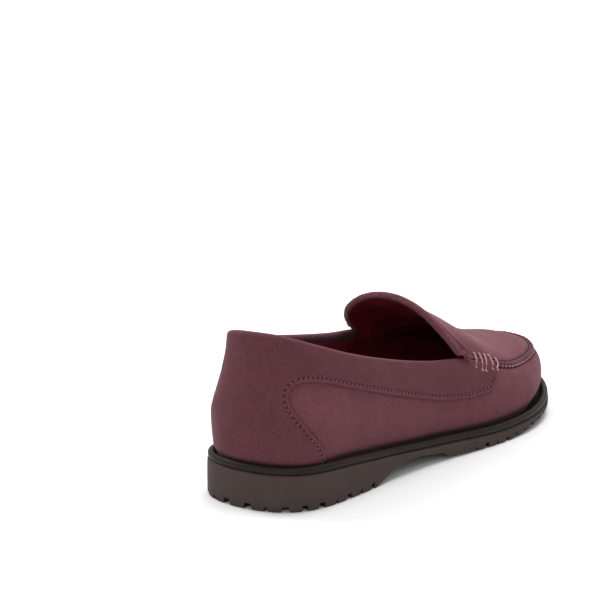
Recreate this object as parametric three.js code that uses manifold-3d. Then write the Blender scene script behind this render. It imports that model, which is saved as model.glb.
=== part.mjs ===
// A right-foot moc-toe loafer: lug sole, welt rim, lasted upper, apron and a springy tongue.
// Millimetres. +Z up, +Y towards the toe, +X towards the outer side of the foot.
// The origin is under the middle of the sole, on the ground.
import * as THREE from 'three';
import { mergeVertices } from 'three/addons/utils/BufferGeometryUtils.js';
import Module from 'manifold-3d';

const wasm = await Module();
wasm.setup();

// ---------- driving dimensions ----------

// Stations round the shoe, from the middle of the heel along the outer side, over the toe and back.
// sole x, sole y, rim x, rim y, rim z, belly of the wall, roundness of the wall
const STATIONS = [
  [0, -150, 0, -141, 101, 5, 0.25],
  [14.5, -148, 10.5, -139, 101, 5, 0.25],
  [26, -143, 19, -133.5, 99.6, 4.5, 0.25],
  [35, -134, 24.5, -125.5, 96.6, 4, 0.25],
  [40.5, -119, 28, -113, 91.8, 3.5, 0.25],
  [42.5, -90, 32, -88, 82.4, 3.5, 0.25],
  [42.8, -50, 34.7, -50, 70.5, 4, 0.3],
  [46, -10, 36.5, -12, 61, 3.5, 0.4],
  [52.5, 28, 39.5, 24, 55, 2.5, 0.55],
  [55, 52, 42.5, 47, 48.6, 2.2, 0.65],
  [54.5, 74, 42.6, 67, 44.2, 2.2, 0.7],
  [50.5, 94, 38.6, 85, 41.2, 2.7, 0.75],
  [42.5, 113, 34.6, 101.5, 39.3, 3.2, 0.8],
  [30, 130, 26.8, 118, 38.7, 3.5, 0.8],
  [15, 142, 14, 128.5, 39.8, 3.8, 0.8],
  [-2, 149, -1, 132.5, 40.2, 3.8, 0.8],
  [-15, 149.5, -15, 130, 39.6, 3.8, 0.8],
  [-27, 143.5, -26, 124, 39.2, 3.5, 0.8],
  [-37, 131, -34.5, 113.5, 40, 3, 0.8],
  [-45, 113, -40, 98, 42.8, 2.5, 0.75],
  [-50, 90, -43, 80, 47.4, 2, 0.7],
  [-52.5, 65, -43.5, 60, 52, 2, 0.65],
  [-51.5, 42, -42, 40, 57, 2.5, 0.55],
  [-46.5, 12, -38.5, 15, 61.8, 3.5, 0.4],
  [-40.5, -20, -36, -18, 67.5, 4, 0.3],
  [-38.5, -55, -34, -55, 75, 4, 0.25],
  [-39.5, -95, -31, -93, 84.3, 3.5, 0.25],
  [-38.5, -120, -27, -115, 91, 3.5, 0.25],
  [-34, -135, -23, -127, 95, 4, 0.25],
  [-26, -143.5, -17.5, -135, 98, 4.5, 0.25],
  [-14.5, -148.5, -9.5, -139.3, 100, 5, 0.25],
];
// Height of the outsole's top along the shoe: distance from the middle, height.
const OUTSOLE_TOP = [
  [-151, 22], [-110, 20.5], [-70, 16.5], [-30, 12.2], [10, 9.2], [45, 7.6], [80, 8], [110, 9.8], [135, 12], [152, 13.5],
];
// Underside of the sole: flat heel, breast, arch, first lug, ball and toe spring.
const UNDERSIDE = [
  [-74, 0], [-70, 1.2], [-64, 3.6], [-56, 6], [-48, 7.6], [-36, 8], [-20, 6.4], [-8, 4.4], [-6, 2.2],
  [10, 1], [30, 0.2], [45, 0], [58, 0.6], [72, 2], [90, 3.8], [110, 5.2], [130, 6], [152, 6.6],
];
// Moves the outline so that the origin is under the middle of its width.
const CENTRE_X = 1.3;
const WELT_HEIGHT = 4.6;
// How far the heel draws in above its bulge.
const HEEL_TUCK = 3;
const FEATHER_INSET = 6;
const GAP = 0.3;
const LINING_INSET = 12;

// Crest of the apron from the throat to the toe, and how arched each section is.
const CREST = [
  [10, 88.6], [26, 79.9], [43, 72], [56, 65.1], [71, 58.2], [85, 53.3], [100, 49.7], [118, 46], [132.5, 40.2],
];
const ARCH = [[20, 1], [40, 0.7], [60, 0.4], [85, 0.25], [131, 0.2]];
const THROAT_Y = 22;
const APRON_END = 0.97;

// The tongue's free edge is an arch that stands behind the throat.
const TONGUE_HALF_WIDTH = 38.9;
const TONGUE_TOP = 96.8;
const TONGUE_LEAN = 1.2;
const TONGUE_CORNER_OUTER = 57.2;
const TONGUE_CORNER_INNER = 63;
// How far back the tongue's edge lies, from its middle to its corners.
const TONGUE_BACK_OUTER = [
  [0, -6], [0.2, -5.4], [0.4, -3.6], [0.53, -1.6], [0.645, 1.4], [0.745, 5.2], [0.838, 9.8], [0.92, 15], [1, 21],
];
const TONGUE_BACK_INNER = [
  [0, -6], [0.25, -6], [0.4, -5.8], [0.53, -4.8], [0.645, -2.6], [0.745, 1], [0.838, 5], [0.92, 9.6], [1, 15],
];

// Side view of the curved panel that the heel cover leaves open: distance from the middle, height.
const COVE = [
  [-112, 16], [-116, 25.4], [-120.5, 34.8], [-128.7, 44.8], [-134.6, 53.8], [-137.2, 60.8], [-137, 66.4], [-134.5, 71.4],
  [-129, 73.8], [-121, 72.8], [-108, 69.2], [-88, 62.2], [-56, 51.5], [-33.5, 44.5], [-5, 36.8], [20.5, 33.2],
  [33, 33.2], [38.5, 34.4], [42.5, 37.4], [46.5, 42], [50, 52],
];

const STITCH_RADIUS = 0.55;
const STITCH_LOW = [28, 33.5, 38.5, 43.5, 48.5];
const STITCH_HIGH = [30.5, 35.5, 40.5, 45.5, 50.5];

const NOTCH_RADIUS = 1.5;
const HEEL_NOTCHES = 15;
const FOREPART_NOTCHES = 9;

// ---------- materials ----------

function leather(colour, roughness) {
  return new THREE.MeshStandardMaterial({ color: colour, roughness, metalness: 0, side: THREE.DoubleSide });
}
const NUBUCK = '#683e46';
const LINING = '#2a070c';
const RUBBER = '#443936';
const RIM = '#3b3130';
const THREAD = '#b08088';
const BOARD = '#a58a66';
const CORK = '#8d6a45';
const STEEL = '#8c8f92';
const FOAM = '#cfc6b4';
const STIFFENER = '#c9b79a';

// ---------- curves ----------

const soleCurve = new THREE.CatmullRomCurve3(
  STATIONS.map((row) => new THREE.Vector3(row[0] - CENTRE_X, row[1], 0)), true, 'centripetal',
);
const rimCurve = new THREE.CatmullRomCurve3(
  STATIONS.map((row) => new THREE.Vector3(row[2] - CENTRE_X, row[3], row[4])), true, 'centripetal',
);

// Smooth value from a table of rising positions, with no overshoot.
function profile(table, position) {
  const last = table.length - 1;
  const x = Math.min(Math.max(position, table[0][0]), table[last][0]);
  let i = 0;
  while (i < last - 1 && x > table[i + 1][0]) {
    i += 1;
  }
  const slope = (k) => (table[k + 1][1] - table[k][1]) / (table[k + 1][0] - table[k][0]);
  const tangent = (k) => {
    if (k === 0) {
      return slope(0);
    }
    if (k === last) {
      return slope(last - 1);
    }
    const before = slope(k - 1);
    const after = slope(k);
    return before * after <= 0 ? 0 : (2 * before * after) / (before + after);
  };
  const step = table[i + 1][0] - table[i][0];
  const k = (x - table[i][0]) / step;
  const k2 = k * k;
  const k3 = k2 * k;
  return (2 * k3 - 3 * k2 + 1) * table[i][1] + (k3 - 2 * k2 + k) * step * tangent(i)
    + (3 * k2 - 2 * k3) * table[i + 1][1] + (k3 - k2) * step * tangent(i + 1);
}

// One column of the stations, eased from each station to the next.
function stationValue(column, s) {
  const place = (((s % 1) + 1) % 1) * STATIONS.length;
  const i = Math.floor(place) % STATIONS.length;
  const w = place - Math.floor(place);
  const eased = w * w * (3 - 2 * w);
  return STATIONS[i][column] * (1 - eased) + STATIONS[(i + 1) % STATIONS.length][column] * eased;
}

const wrap = (s) => ((s % 1) + 1) % 1;

// Outward direction of the sole's outline, in plan.
function outwardAt(s) {
  const e = 0.002;
  const along = soleCurve.getPoint(wrap(s + e)).sub(soleCurve.getPoint(wrap(s - e)));
  return new THREE.Vector3(along.y, -along.x, 0).normalize();
}

function outsoleTop(y) {
  return profile(OUTSOLE_TOP, y);
}

// ---------- surfaces of the upper ----------

// Outer face of the wall: s runs round the shoe and v from the welt up to the rim.
function wallFace(s, v) {
  const outward = outwardAt(s);
  const sole = soleCurve.getPoint(wrap(s));
  const foot = sole.clone().addScaledVector(outward, -FEATHER_INSET);
  foot.z = outsoleTop(sole.y) + WELT_HEIGHT + GAP;
  const rise = rimCurve.getPoint(wrap(s)).sub(foot);
  const belly = stationValue(5, s);
  const round = stationValue(6, s);
  const inward = (1 - round) * v + round * (1 - Math.cos((Math.PI * v) / 2));
  const upward = (1 - round) * v + round * Math.sin((Math.PI * v) / 2);
  foot.x += rise.x * inward;
  foot.y += rise.y * inward;
  foot.z += rise.z * upward;
  const heel = 1 - THREE.MathUtils.smoothstep(sole.y, -125, -70);
  const tuck = HEEL_TUCK * heel * Math.sin(Math.PI * THREE.MathUtils.clamp((v - 0.3) / 0.7, 0, 1)) ** 1.3;
  return foot.addScaledVector(outward, belly * Math.sin(Math.PI * Math.max(v, 0) ** 0.75) - tuck);
}

// A point a given depth inside the wall's outer face.
function wallPoint(s, v, depth) {
  const e = 0.004;
  const vLow = Math.max(v - 0.02, 0);
  const vHigh = Math.min(v + 0.02, 1);
  const around = wallFace(s + e, v).sub(wallFace(s - e, v));
  const up = wallFace(s, vHigh).sub(wallFace(s, vLow));
  const normal = around.cross(up).normalize();
  normal.z *= THREE.MathUtils.smoothstep(v, 0, 0.16);
  normal.normalize();
  return wallFace(s, v).addScaledVector(normal, -depth);
}

// Where the rim reaches a given distance along the shoe, on the outer (+1) or inner (-1) side.
const TOE_S = (() => {
  let best = 0;
  for (let i = 0; i <= 600; i += 1) {
    const s = 0.45 + (0.1 * i) / 600;
    if (rimCurve.getPoint(s).y > rimCurve.getPoint(0.45 + (0.1 * best) / 600).y) {
      best = i;
    }
  }
  return 0.45 + (0.1 * best) / 600;
})();
const TOE_Y = rimCurve.getPoint(TOE_S).y;

function rimPlace(side, y) {
  let back = side > 0 ? 0.17 : 0.83;
  let front = TOE_S;
  for (let i = 0; i < 40; i += 1) {
    const middle = (back + front) / 2;
    if (rimCurve.getPoint(middle).y < y) {
      back = middle;
    } else {
      front = middle;
    }
  }
  return (back + front) / 2;
}

// Top face of the apron: t runs from the throat to the toe and r from the inner to the outer edge.
function apronFace(t, r) {
  const y = THROAT_Y + (TOE_Y - THROAT_Y) * Math.sin((t * Math.PI) / 2);
  const outer = rimCurve.getPoint(rimPlace(1, y));
  const inner = rimCurve.getPoint(rimPlace(-1, y));
  const arch = profile(ARCH, y);
  const across = (1 - arch) * r + arch * Math.sin((r * Math.PI) / 2);
  const crown = (1 - arch) * (1 - Math.abs(r) ** 2.2) + arch * Math.cos((r * Math.PI) / 2);
  const lift = Math.max(profile(CREST, y) - (outer.z + inner.z) / 2, 0);
  const x = (outer.x + inner.x) / 2 + ((outer.x - inner.x) / 2) * across;
  const edge = inner.z + ((outer.z - inner.z) * (r + 1)) / 2;
  return new THREE.Vector3(x, y, edge + lift * crown);
}

// Free edge of the tongue, from the inner corner (-1) over the top (0) to the outer corner (1).
function tongueEdge(r) {
  const angle = (r * Math.PI) / 2;
  const corner = r > 0 ? TONGUE_CORNER_OUTER : TONGUE_CORNER_INNER;
  const rise = Math.max(Math.cos(angle), 0);
  return new THREE.Vector3(
    TONGUE_HALF_WIDTH * Math.sin(angle) - CENTRE_X + TONGUE_LEAN * rise,
    profile(r > 0 ? TONGUE_BACK_OUTER : TONGUE_BACK_INNER, Math.abs(r)),
    corner + (TONGUE_TOP - corner) * rise ** (r > 0 ? 0.85 : 1),
  );
}

// Top face of the tongue: t runs from the throat to the free edge, leaving the apron smoothly.
function tongueFace(t, r) {
  const start = apronFace(0, r);
  const end = tongueEdge(r);
  const chord = end.clone().sub(start);
  const leave = start.clone().sub(apronFace(0.02, r)).setLength(chord.length());
  const arrive = chord.clone().multiplyScalar(1.4).addScaledVector(leave, -0.4);
  const t2 = t * t;
  const t3 = t2 * t;
  return start.multiplyScalar(2 * t3 - 3 * t2 + 1)
    .addScaledVector(leave, t3 - 2 * t2 + t)
    .addScaledVector(end, 3 * t2 - 2 * t3)
    .addScaledVector(arrive, t3 - t2);
}

// A point a given depth under a face that is a function of t and r.
function under(face, t, r, depth) {
  const e = 0.01;
  const tLow = Math.max(t - e, 0);
  const tHigh = Math.min(t + e, 1);
  const rLow = Math.max(r - e, -1);
  const rHigh = Math.min(r + e, 1);
  const along = face(tHigh, r).sub(face(tLow, r));
  const across = face(t, rHigh).sub(face(t, rLow));
  const normal = across.cross(along).normalize();
  return face(t, r).addScaledVector(normal, along.y > 0 ? -depth : depth);
}

// ---------- solids ----------

function geometryFrom(positions, indices) {
  const geometry = new THREE.BufferGeometry();
  geometry.setAttribute('position', new THREE.Float32BufferAttribute(positions, 3));
  geometry.setIndex(indices);
  const a = new THREE.Vector3();
  const b = new THREE.Vector3();
  const c = new THREE.Vector3();
  let volume = 0;
  for (let i = 0; i < indices.length; i += 3) {
    a.fromArray(positions, indices[i] * 3);
    b.fromArray(positions, indices[i + 1] * 3);
    c.fromArray(positions, indices[i + 2] * 3);
    volume += a.dot(b.cross(c));
  }
  if (volume < 0) {
    for (let i = 0; i < indices.length; i += 3) {
      [indices[i], indices[i + 1]] = [indices[i + 1], indices[i]];
    }
    geometry.setIndex(indices);
  }
  return geometry;
}

// A closed skin between two faces, each a function of u and v from 0 to 1. A loop joins u = 1 to u = 0.
function skin(outerFace, innerFace, uCount, vCount, loop = false) {
  const positions = [];
  const indices = [];
  const columns = loop ? uCount : uCount + 1;
  const rows = vCount + 1;
  [outerFace, innerFace].forEach((face) => {
    for (let i = 0; i < columns; i += 1) {
      for (let j = 0; j < rows; j += 1) {
        positions.push(...face(i / uCount, j / vCount).toArray());
      }
    }
  });
  const at = (layer, i, j) => layer * columns * rows + (i % columns) * rows + j;
  const quad = (a, b, c, d) => indices.push(a, b, c, a, c, d);
  for (let i = 0; i < uCount; i += 1) {
    for (let j = 0; j < vCount; j += 1) {
      quad(at(0, i, j), at(0, i + 1, j), at(0, i + 1, j + 1), at(0, i, j + 1));
      quad(at(1, i, j + 1), at(1, i + 1, j + 1), at(1, i + 1, j), at(1, i, j));
    }
    quad(at(1, i, 0), at(1, i + 1, 0), at(0, i + 1, 0), at(0, i, 0));
    quad(at(0, i, vCount), at(0, i + 1, vCount), at(1, i + 1, vCount), at(1, i, vCount));
  }
  if (!loop) {
    for (let j = 0; j < vCount; j += 1) {
      quad(at(1, 0, j), at(0, 0, j), at(0, 0, j + 1), at(1, 0, j + 1));
      quad(at(0, uCount, j), at(1, uCount, j), at(1, uCount, j + 1), at(0, uCount, j + 1));
    }
  }
  return geometryFrom(positions, indices);
}

// A closed plate with the sole's outline. Each level has an inset from the outline and a height along y.
// It can stop short of the heel and the toe: from and to are fractions of its length.
function plate(levels, pairs, from = 0, to = 1) {
  const positions = [];
  const indices = [];
  const whole = from === 0 && to === 1;
  const places = [];
  if (whole) {
    for (let i = 0; i < pairs * 2; i += 1) {
      places.push(i / (pairs * 2));
    }
  } else {
    for (let i = 0; i <= pairs; i += 1) {
      places.push((from + ((to - from) * i) / pairs) / 2);
    }
    for (let i = pairs; i >= 0; i -= 1) {
      places.push(1 - (from + ((to - from) * i) / pairs) / 2);
    }
  }
  const count = places.length;
  levels.forEach(({ inset, height }) => {
    places.forEach((s) => {
      const point = soleCurve.getPoint(wrap(s)).addScaledVector(outwardAt(s), -inset);
      positions.push(point.x, point.y, height(point.y));
    });
  });
  for (let level = 0; level < levels.length - 1; level += 1) {
    for (let i = 0; i < count; i += 1) {
      const a = level * count + i;
      const b = level * count + ((i + 1) % count);
      indices.push(a, b, b + count, a, b + count, a + count);
    }
  }
  const partner = (i) => (whole ? (count - i) % count : count - 1 - i);
  const cap = (base, flip) => {
    const rows = whole ? count / 2 : pairs;
    for (let i = 0; i < rows; i += 1) {
      const corners = [i, i + 1, partner(i + 1), partner(i)];
      [[0, 1, 2], [0, 2, 3]].forEach((order) => {
        const triangle = order.map((k) => base + corners[k]);
        if (new Set(triangle).size === 3) {
          indices.push(...(flip ? triangle.reverse() : triangle));
        }
      });
    }
  };
  cap(0, true);
  cap((levels.length - 1) * count, false);
  return geometryFrom(positions, indices);
}

function toSolid(geometry) {
  const bare = geometry.clone();
  bare.deleteAttribute('normal');
  bare.deleteAttribute('uv');
  const merged = mergeVertices(bare, 1e-4);
  return new wasm.Manifold(new wasm.Mesh({
    numProp: 3,
    vertProperties: new Float32Array(merged.attributes.position.array),
    triVerts: new Uint32Array(merged.index.array),
  }));
}

function fromSolid(solid) {
  const mesh = solid.getMesh();
  const geometry = new THREE.BufferGeometry();
  geometry.setAttribute('position', new THREE.Float32BufferAttribute(mesh.vertProperties, 3));
  geometry.setIndex([...mesh.triVerts]);
  return geometry;
}

// A prism right across the shoe with a side-view outline of (distance along, height) pairs.
function crossPrism(outline) {
  const shape = new THREE.Shape(outline.map(([y, z]) => new THREE.Vector2(y, z)));
  const geometry = new THREE.ExtrudeGeometry(shape, { depth: 140, bevelEnabled: false, steps: 1 });
  const axes = new THREE.Matrix4().makeBasis(
    new THREE.Vector3(0, 1, 0), new THREE.Vector3(0, 0, 1), new THREE.Vector3(1, 0, 0),
  );
  return geometry.applyMatrix4(axes).translate(-70, 0, 0);
}

// ---------- sole ----------

function undersideCut() {
  const outline = [[-80, -5]];
  outline.push([-80, -0.6], [-74.5, -0.6]);
  for (let i = 0; i <= 60; i += 1) {
    const y = -74 + (226 * i) / 60;
    outline.push([y, profile(UNDERSIDE, y)]);
  }
  outline.push([160, 6.6], [160, -5]);
  return toSolid(crossPrism(outline.filter(([, z], i) => i < 3 || z > 0.001 || z < -1)));
}

// One lug notch in the sole's lower edge, pointing along the outline's outward direction.
function notch(s, height) {
  const outward = outwardAt(s);
  const point = soleCurve.getPoint(wrap(s));
  const drum = new THREE.CylinderGeometry(NOTCH_RADIUS, NOTCH_RADIUS, 16, 8);
  drum.applyQuaternion(new THREE.Quaternion().setFromUnitVectors(new THREE.Vector3(0, 1, 0), outward));
  drum.translate(point.x, point.y, height);
  return toSolid(drum);
}

function channel(y, halfLength, height) {
  const box = new THREE.BoxGeometry(halfLength * 2, 3.2, 5);
  box.translate(0, y, height);
  return toSolid(box);
}

function outsole() {
  const slab = plate([
    { inset: 0.6, height: () => 0 },
    { inset: 0, height: () => 0.8 },
    { inset: 0, height: (y) => outsoleTop(y) - 0.6 },
    { inset: 0.6, height: outsoleTop },
  ], 56);
  let solid = toSolid(slab).subtract(undersideCut());
  for (let i = 0; i < HEEL_NOTCHES; i += 1) {
    const s = -0.155 + (0.31 * i) / (HEEL_NOTCHES - 1);
    solid = solid.subtract(notch(s, 0));
  }
  [-1, 1].forEach((side) => {
    for (let i = 0; i < FOREPART_NOTCHES; i += 1) {
      const s = side * (0.236 + (0.2 * i) / (FOREPART_NOTCHES - 1));
      const y = soleCurve.getPoint(wrap(s)).y;
      solid = solid.subtract(notch(s, profile(UNDERSIDE, y)));
    }
  });
  [8, 22, 36, 50, 64, 78, 92, 106].forEach((y, i) => {
    solid = solid.subtract(channel(y, 30 - Math.abs(i - 3) * 2, profile(UNDERSIDE, y) - 0.3));
  });
  [-132, -118, -104, -90].forEach((y) => {
    solid = solid.subtract(channel(y, 22, -0.3));
  });
  return fromSolid(solid);
}

const above = (offset) => (y) => outsoleTop(y) + offset;

function midsole() {
  return plate([
    { inset: 1, height: above(GAP) },
    { inset: 0.1, height: above(1.2) },
    { inset: 0.1, height: above(3.4) },
    { inset: 0.6, height: above(4.2) },
    { inset: 1.8, height: above(WELT_HEIGHT) },
  ], 48);
}

const FILLER_BASE = WELT_HEIGHT + GAP;
const BOARD_BASE = FILLER_BASE + 2;
const FOOTBED_BASE = BOARD_BASE + 2.2;

// Outline of a round-ended strip, with points all along its sides so that it can bend.
function stripOutline(halfWidth, front, back) {
  const points = [];
  const sideCount = 14;
  for (let i = 0; i <= 6; i += 1) {
    const angle = Math.PI + (Math.PI * i) / 6;
    points.push([halfWidth * Math.cos(angle), back + halfWidth + halfWidth * Math.sin(angle)]);
  }
  const length = front - back - halfWidth * 2;
  for (let i = 1; i < sideCount; i += 1) {
    points.push([halfWidth, back + halfWidth + (length * i) / sideCount]);
  }
  for (let i = 0; i <= 6; i += 1) {
    const angle = (Math.PI * i) / 6;
    points.push([halfWidth * Math.cos(angle), front - halfWidth + halfWidth * Math.sin(angle)]);
  }
  for (let i = sideCount - 1; i > 0; i -= 1) {
    points.push([-halfWidth, back + halfWidth + (length * i) / sideCount]);
  }
  return new THREE.Shape(points.map(([x, y]) => new THREE.Vector2(x, y)));
}

// A round-ended strip that follows the top of the midsole.
function strip(halfWidth, front, back, bottom, top) {
  const shape = stripOutline(halfWidth, front, back);
  const geometry = new THREE.ExtrudeGeometry(shape, { depth: 1, bevelEnabled: false, steps: 1 });
  const position = geometry.attributes.position;
  for (let i = 0; i < position.count; i += 1) {
    const height = position.getZ(i) < 0.5 ? bottom : top;
    position.setZ(i, outsoleTop(position.getY(i)) + height);
  }
  return geometry;
}

function shank() {
  const geometry = strip(8, 2, -96, FILLER_BASE + 0.05, FILLER_BASE + 1.5);
  return fromSolid(toSolid(geometry));
}

function corkFiller() {
  const full = plate([
    { inset: LINING_INSET + 1, height: above(FILLER_BASE) },
    { inset: LINING_INSET + 1, height: above(FILLER_BASE + 1.7) },
  ], 32);
  return fromSolid(toSolid(full).subtract(toSolid(strip(9, 3, -97, FILLER_BASE - 3, FILLER_BASE + 6))));
}

function insoleBoard() {
  return plate([
    { inset: LINING_INSET + 0.5, height: above(BOARD_BASE) },
    { inset: LINING_INSET + 0.5, height: above(BOARD_BASE + 1.8) },
  ], 36);
}

function heelPad() {
  return plate([
    { inset: LINING_INSET + 5, height: above(FOOTBED_BASE) },
    { inset: LINING_INSET + 6, height: above(FOOTBED_BASE + 2) },
  ], 12, 0.02, 0.35);
}

// The footbed rises over the heel pad.
function footbed() {
  const overPad = (y) => 2.6 * (1 - THREE.MathUtils.smoothstep(y, -74, -48));
  return plate([
    { inset: LINING_INSET + 0.3, height: (y) => above(FOOTBED_BASE)(y) + overPad(y) },
    { inset: LINING_INSET + 0.3, height: (y) => above(FOOTBED_BASE + 1.6)(y) + overPad(y) },
    { inset: LINING_INSET + 1, height: (y) => above(FOOTBED_BASE + 2.2)(y) + overPad(y) },
  ], 40);
}

// ---------- upper ----------

// A layer of the wall between two depths, with its lower and upper edges as functions of s.
function wallLayer({ from, to, low, high, outer, inner, around, up, loop = false }) {
  const layer = (depth) => (u, v) => {
    const s = from + (to - from) * u;
    return wallPoint(s, low(s) + (high(s) - low(s)) * v, depth);
  };
  return skin(layer(outer), layer(inner), around, up, loop);
}

const rimY = (s) => rimCurve.getPoint(wrap(s)).y;
const ease = THREE.MathUtils.smoothstep;

// The vamp wraps the toe and both sides, and runs back under the heel cover.
function vamp() {
  return wallLayer({
    from: 0.05,
    to: 0.95,
    low: () => 0,
    high: (s) => 0.7 + 0.2 * ease(rimY(s), 22, 50) + 0.05 * ease(rimY(s), 102, 126),
    outer: 1.1,
    inner: 2.2,
    around: 62,
    up: 6,
  });
}

// The heel cover wraps the heel and carries on forward as the collar band.
function heelCollar() {
  const front = 0.286;
  const shell = wallLayer({
    from: -front + 0.006,
    to: front,
    low: () => 0,
    high: (s) => 0.995 - 0.04 * ease(rimY(s), 10, 22),
    outer: -0.9,
    inner: 0.7,
    around: 72,
    up: 7,
  });
  const outline = [...COVE, [70, 60], [70, 0], [-112, 0]];
  return fromSolid(toSolid(shell).subtract(toSolid(crossPrism(outline))));
}

function heelCounter() {
  return wallLayer({
    from: -0.15, to: 0.15, low: () => 0.03, high: () => 0.6, outer: 2.8, inner: 3.7, around: 26, up: 4,
  });
}

function toePuff() {
  return wallLayer({
    from: 0.37, to: 0.61, low: () => 0.06, high: () => 0.82, outer: 2.8, inner: 3.7, around: 22, up: 5,
  });
}

function collarPadding() {
  return wallLayer({
    from: -0.225, to: 0.225, low: () => 0.76, high: () => 0.97, outer: 1.1, inner: 3.9, around: 52, up: 2,
  });
}

function wallLining() {
  return wallLayer({
    from: 0,
    to: 1,
    low: () => 0.02,
    high: (s) => 0.985 - 0.11 * ease(rimY(s), 5, 45),
    outer: 4.2,
    inner: 5.2,
    around: 64,
    up: 5,
    loop: true,
  });
}

// A layer of the apron or tongue between two depths, narrowed by a share of its width.
function topLayer(face, { start, end, narrow, outer, inner, along, across }) {
  const layer = (depth) => (u, v) => {
    const r = (v * 2 - 1) * (1 - narrow);
    const first = start(r);
    return under(face, first + (end(r) - first) * u, r, depth);
  };
  return skin(layer(outer), layer(inner), along, across);
}

function apron() {
  return topLayer(apronFace, {
    start: () => 0, end: () => APRON_END, narrow: 0, outer: 0, inner: 1.6, along: 15, across: 16,
  });
}

function apronLining() {
  return topLayer(apronFace, {
    start: () => 0.01, end: () => APRON_END - 0.13, narrow: 0.1, outer: 2.2, inner: 3.1, along: 10, across: 12,
  });
}

const tongueStart = (r) => 0.035 + 0.2 * Math.abs(r) ** 4;

function tongue() {
  return topLayer(tongueFace, {
    start: tongueStart, end: () => 1, narrow: 0, outer: 0, inner: 1.8, along: 7, across: 18,
  });
}

function tongueLining() {
  return topLayer(tongueFace, {
    start: (r) => tongueStart(r) + 0.04, end: () => 0.96, narrow: 0.09, outer: 2.5, inner: 3.4, along: 6, across: 16,
  });
}

// ---------- whip stitches ----------

// One thick cord that laces the apron to the collar band over the seam.
function whipStitch(side, lowY, highY) {
  const clear = GAP + STITCH_RADIUS;
  const low = wallPoint(rimPlace(side, lowY), 0.8, -0.9 - clear);
  const lip = wallPoint(rimPlace(side, (lowY + highY) / 2), 0.93, -1.3 - clear);
  const t = (Math.asin((highY - THROAT_Y) / (TOE_Y - THROAT_Y)) * 2) / Math.PI;
  const edge = under(apronFace, t, side * 0.97, -0.7 - clear);
  const high = under(apronFace, t, side * 0.89, -clear);
  const path = new THREE.CatmullRomCurve3([low, lip, edge, high], false, 'centripetal');
  const section = new THREE.Shape();
  section.absarc(0, 0, STITCH_RADIUS, 0, Math.PI * 2, false);
  const geometry = new THREE.ExtrudeGeometry(section, {
    steps: 8, curveSegments: 4, bevelEnabled: false, extrudePath: path,
  });
  return fromSolid(toSolid(geometry));
}

// ---------- the shoe ----------

const shoe = new THREE.Group();

function add(name, geometry, material) {
  const mesh = new THREE.Mesh(geometry, material);
  mesh.name = name;
  shoe.add(mesh);
}

add('outsole', outsole(), new THREE.MeshStandardMaterial({ color: RUBBER, roughness: 0.75, metalness: 0 }));
add('midsole', midsole(), new THREE.MeshStandardMaterial({ color: RIM, roughness: 0.6, metalness: 0 }));
add('cork_filler', corkFiller(), new THREE.MeshStandardMaterial({ color: CORK, roughness: 0.9, metalness: 0 }));
add('shank', shank(), new THREE.MeshStandardMaterial({ color: STEEL, roughness: 0.4, metalness: 1 }));
add('insole_board', insoleBoard(), new THREE.MeshStandardMaterial({ color: BOARD, roughness: 0.9, metalness: 0 }));
add('heel_pad', heelPad(), new THREE.MeshStandardMaterial({ color: FOAM, roughness: 0.9, metalness: 0 }));
add('footbed', footbed(), leather(LINING, 0.6));
add('vamp', vamp(), leather(NUBUCK, 0.9));
add('heel_collar', heelCollar(), leather(NUBUCK, 0.9));
add('heel_counter', heelCounter(), leather(STIFFENER, 0.9));
add('toe_puff', toePuff(), leather(STIFFENER, 0.9));
add('collar_padding', collarPadding(), leather(FOAM, 0.95));
add('wall_lining', wallLining(), leather(LINING, 0.6));
add('apron', apron(), leather(NUBUCK, 0.9));
add('apron_lining', apronLining(), leather(LINING, 0.6));
add('tongue', tongue(), leather(NUBUCK, 0.9));
add('tongue_lining', tongueLining(), leather(LINING, 0.6));
[[1, 'outer'], [-1, 'inner']].forEach(([side, label]) => {
  STITCH_LOW.forEach((lowY, i) => {
    const material = new THREE.MeshStandardMaterial({ color: THREAD, roughness: 0.8, metalness: 0 });
    add(`whip_stitch_${label}_${i + 1}`, whipStitch(side, lowY, STITCH_HIGH[i]), material);
  });
});

export default shoe;
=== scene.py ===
import math

import bpy
import numpy as np
from mathutils import Matrix, Vector
from mathutils.geometry import delaunay_2d_cdt


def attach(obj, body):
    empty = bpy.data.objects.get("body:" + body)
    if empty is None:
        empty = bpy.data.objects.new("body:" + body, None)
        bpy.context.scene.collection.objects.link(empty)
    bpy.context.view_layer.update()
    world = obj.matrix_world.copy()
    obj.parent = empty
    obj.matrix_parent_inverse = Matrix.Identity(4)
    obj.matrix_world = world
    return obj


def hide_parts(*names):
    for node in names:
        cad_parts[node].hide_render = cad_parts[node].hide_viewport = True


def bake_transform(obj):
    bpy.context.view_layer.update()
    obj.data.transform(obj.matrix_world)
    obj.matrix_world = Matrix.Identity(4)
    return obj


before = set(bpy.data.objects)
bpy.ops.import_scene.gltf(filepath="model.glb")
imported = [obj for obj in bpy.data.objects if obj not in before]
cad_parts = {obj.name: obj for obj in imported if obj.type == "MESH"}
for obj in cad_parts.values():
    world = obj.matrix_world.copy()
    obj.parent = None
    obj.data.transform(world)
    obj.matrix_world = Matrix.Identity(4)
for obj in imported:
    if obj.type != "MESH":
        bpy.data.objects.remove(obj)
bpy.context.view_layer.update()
MM = 0.001
PI = math.pi

# ---------------- the shoe's driving shapes, in millimetres

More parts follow.
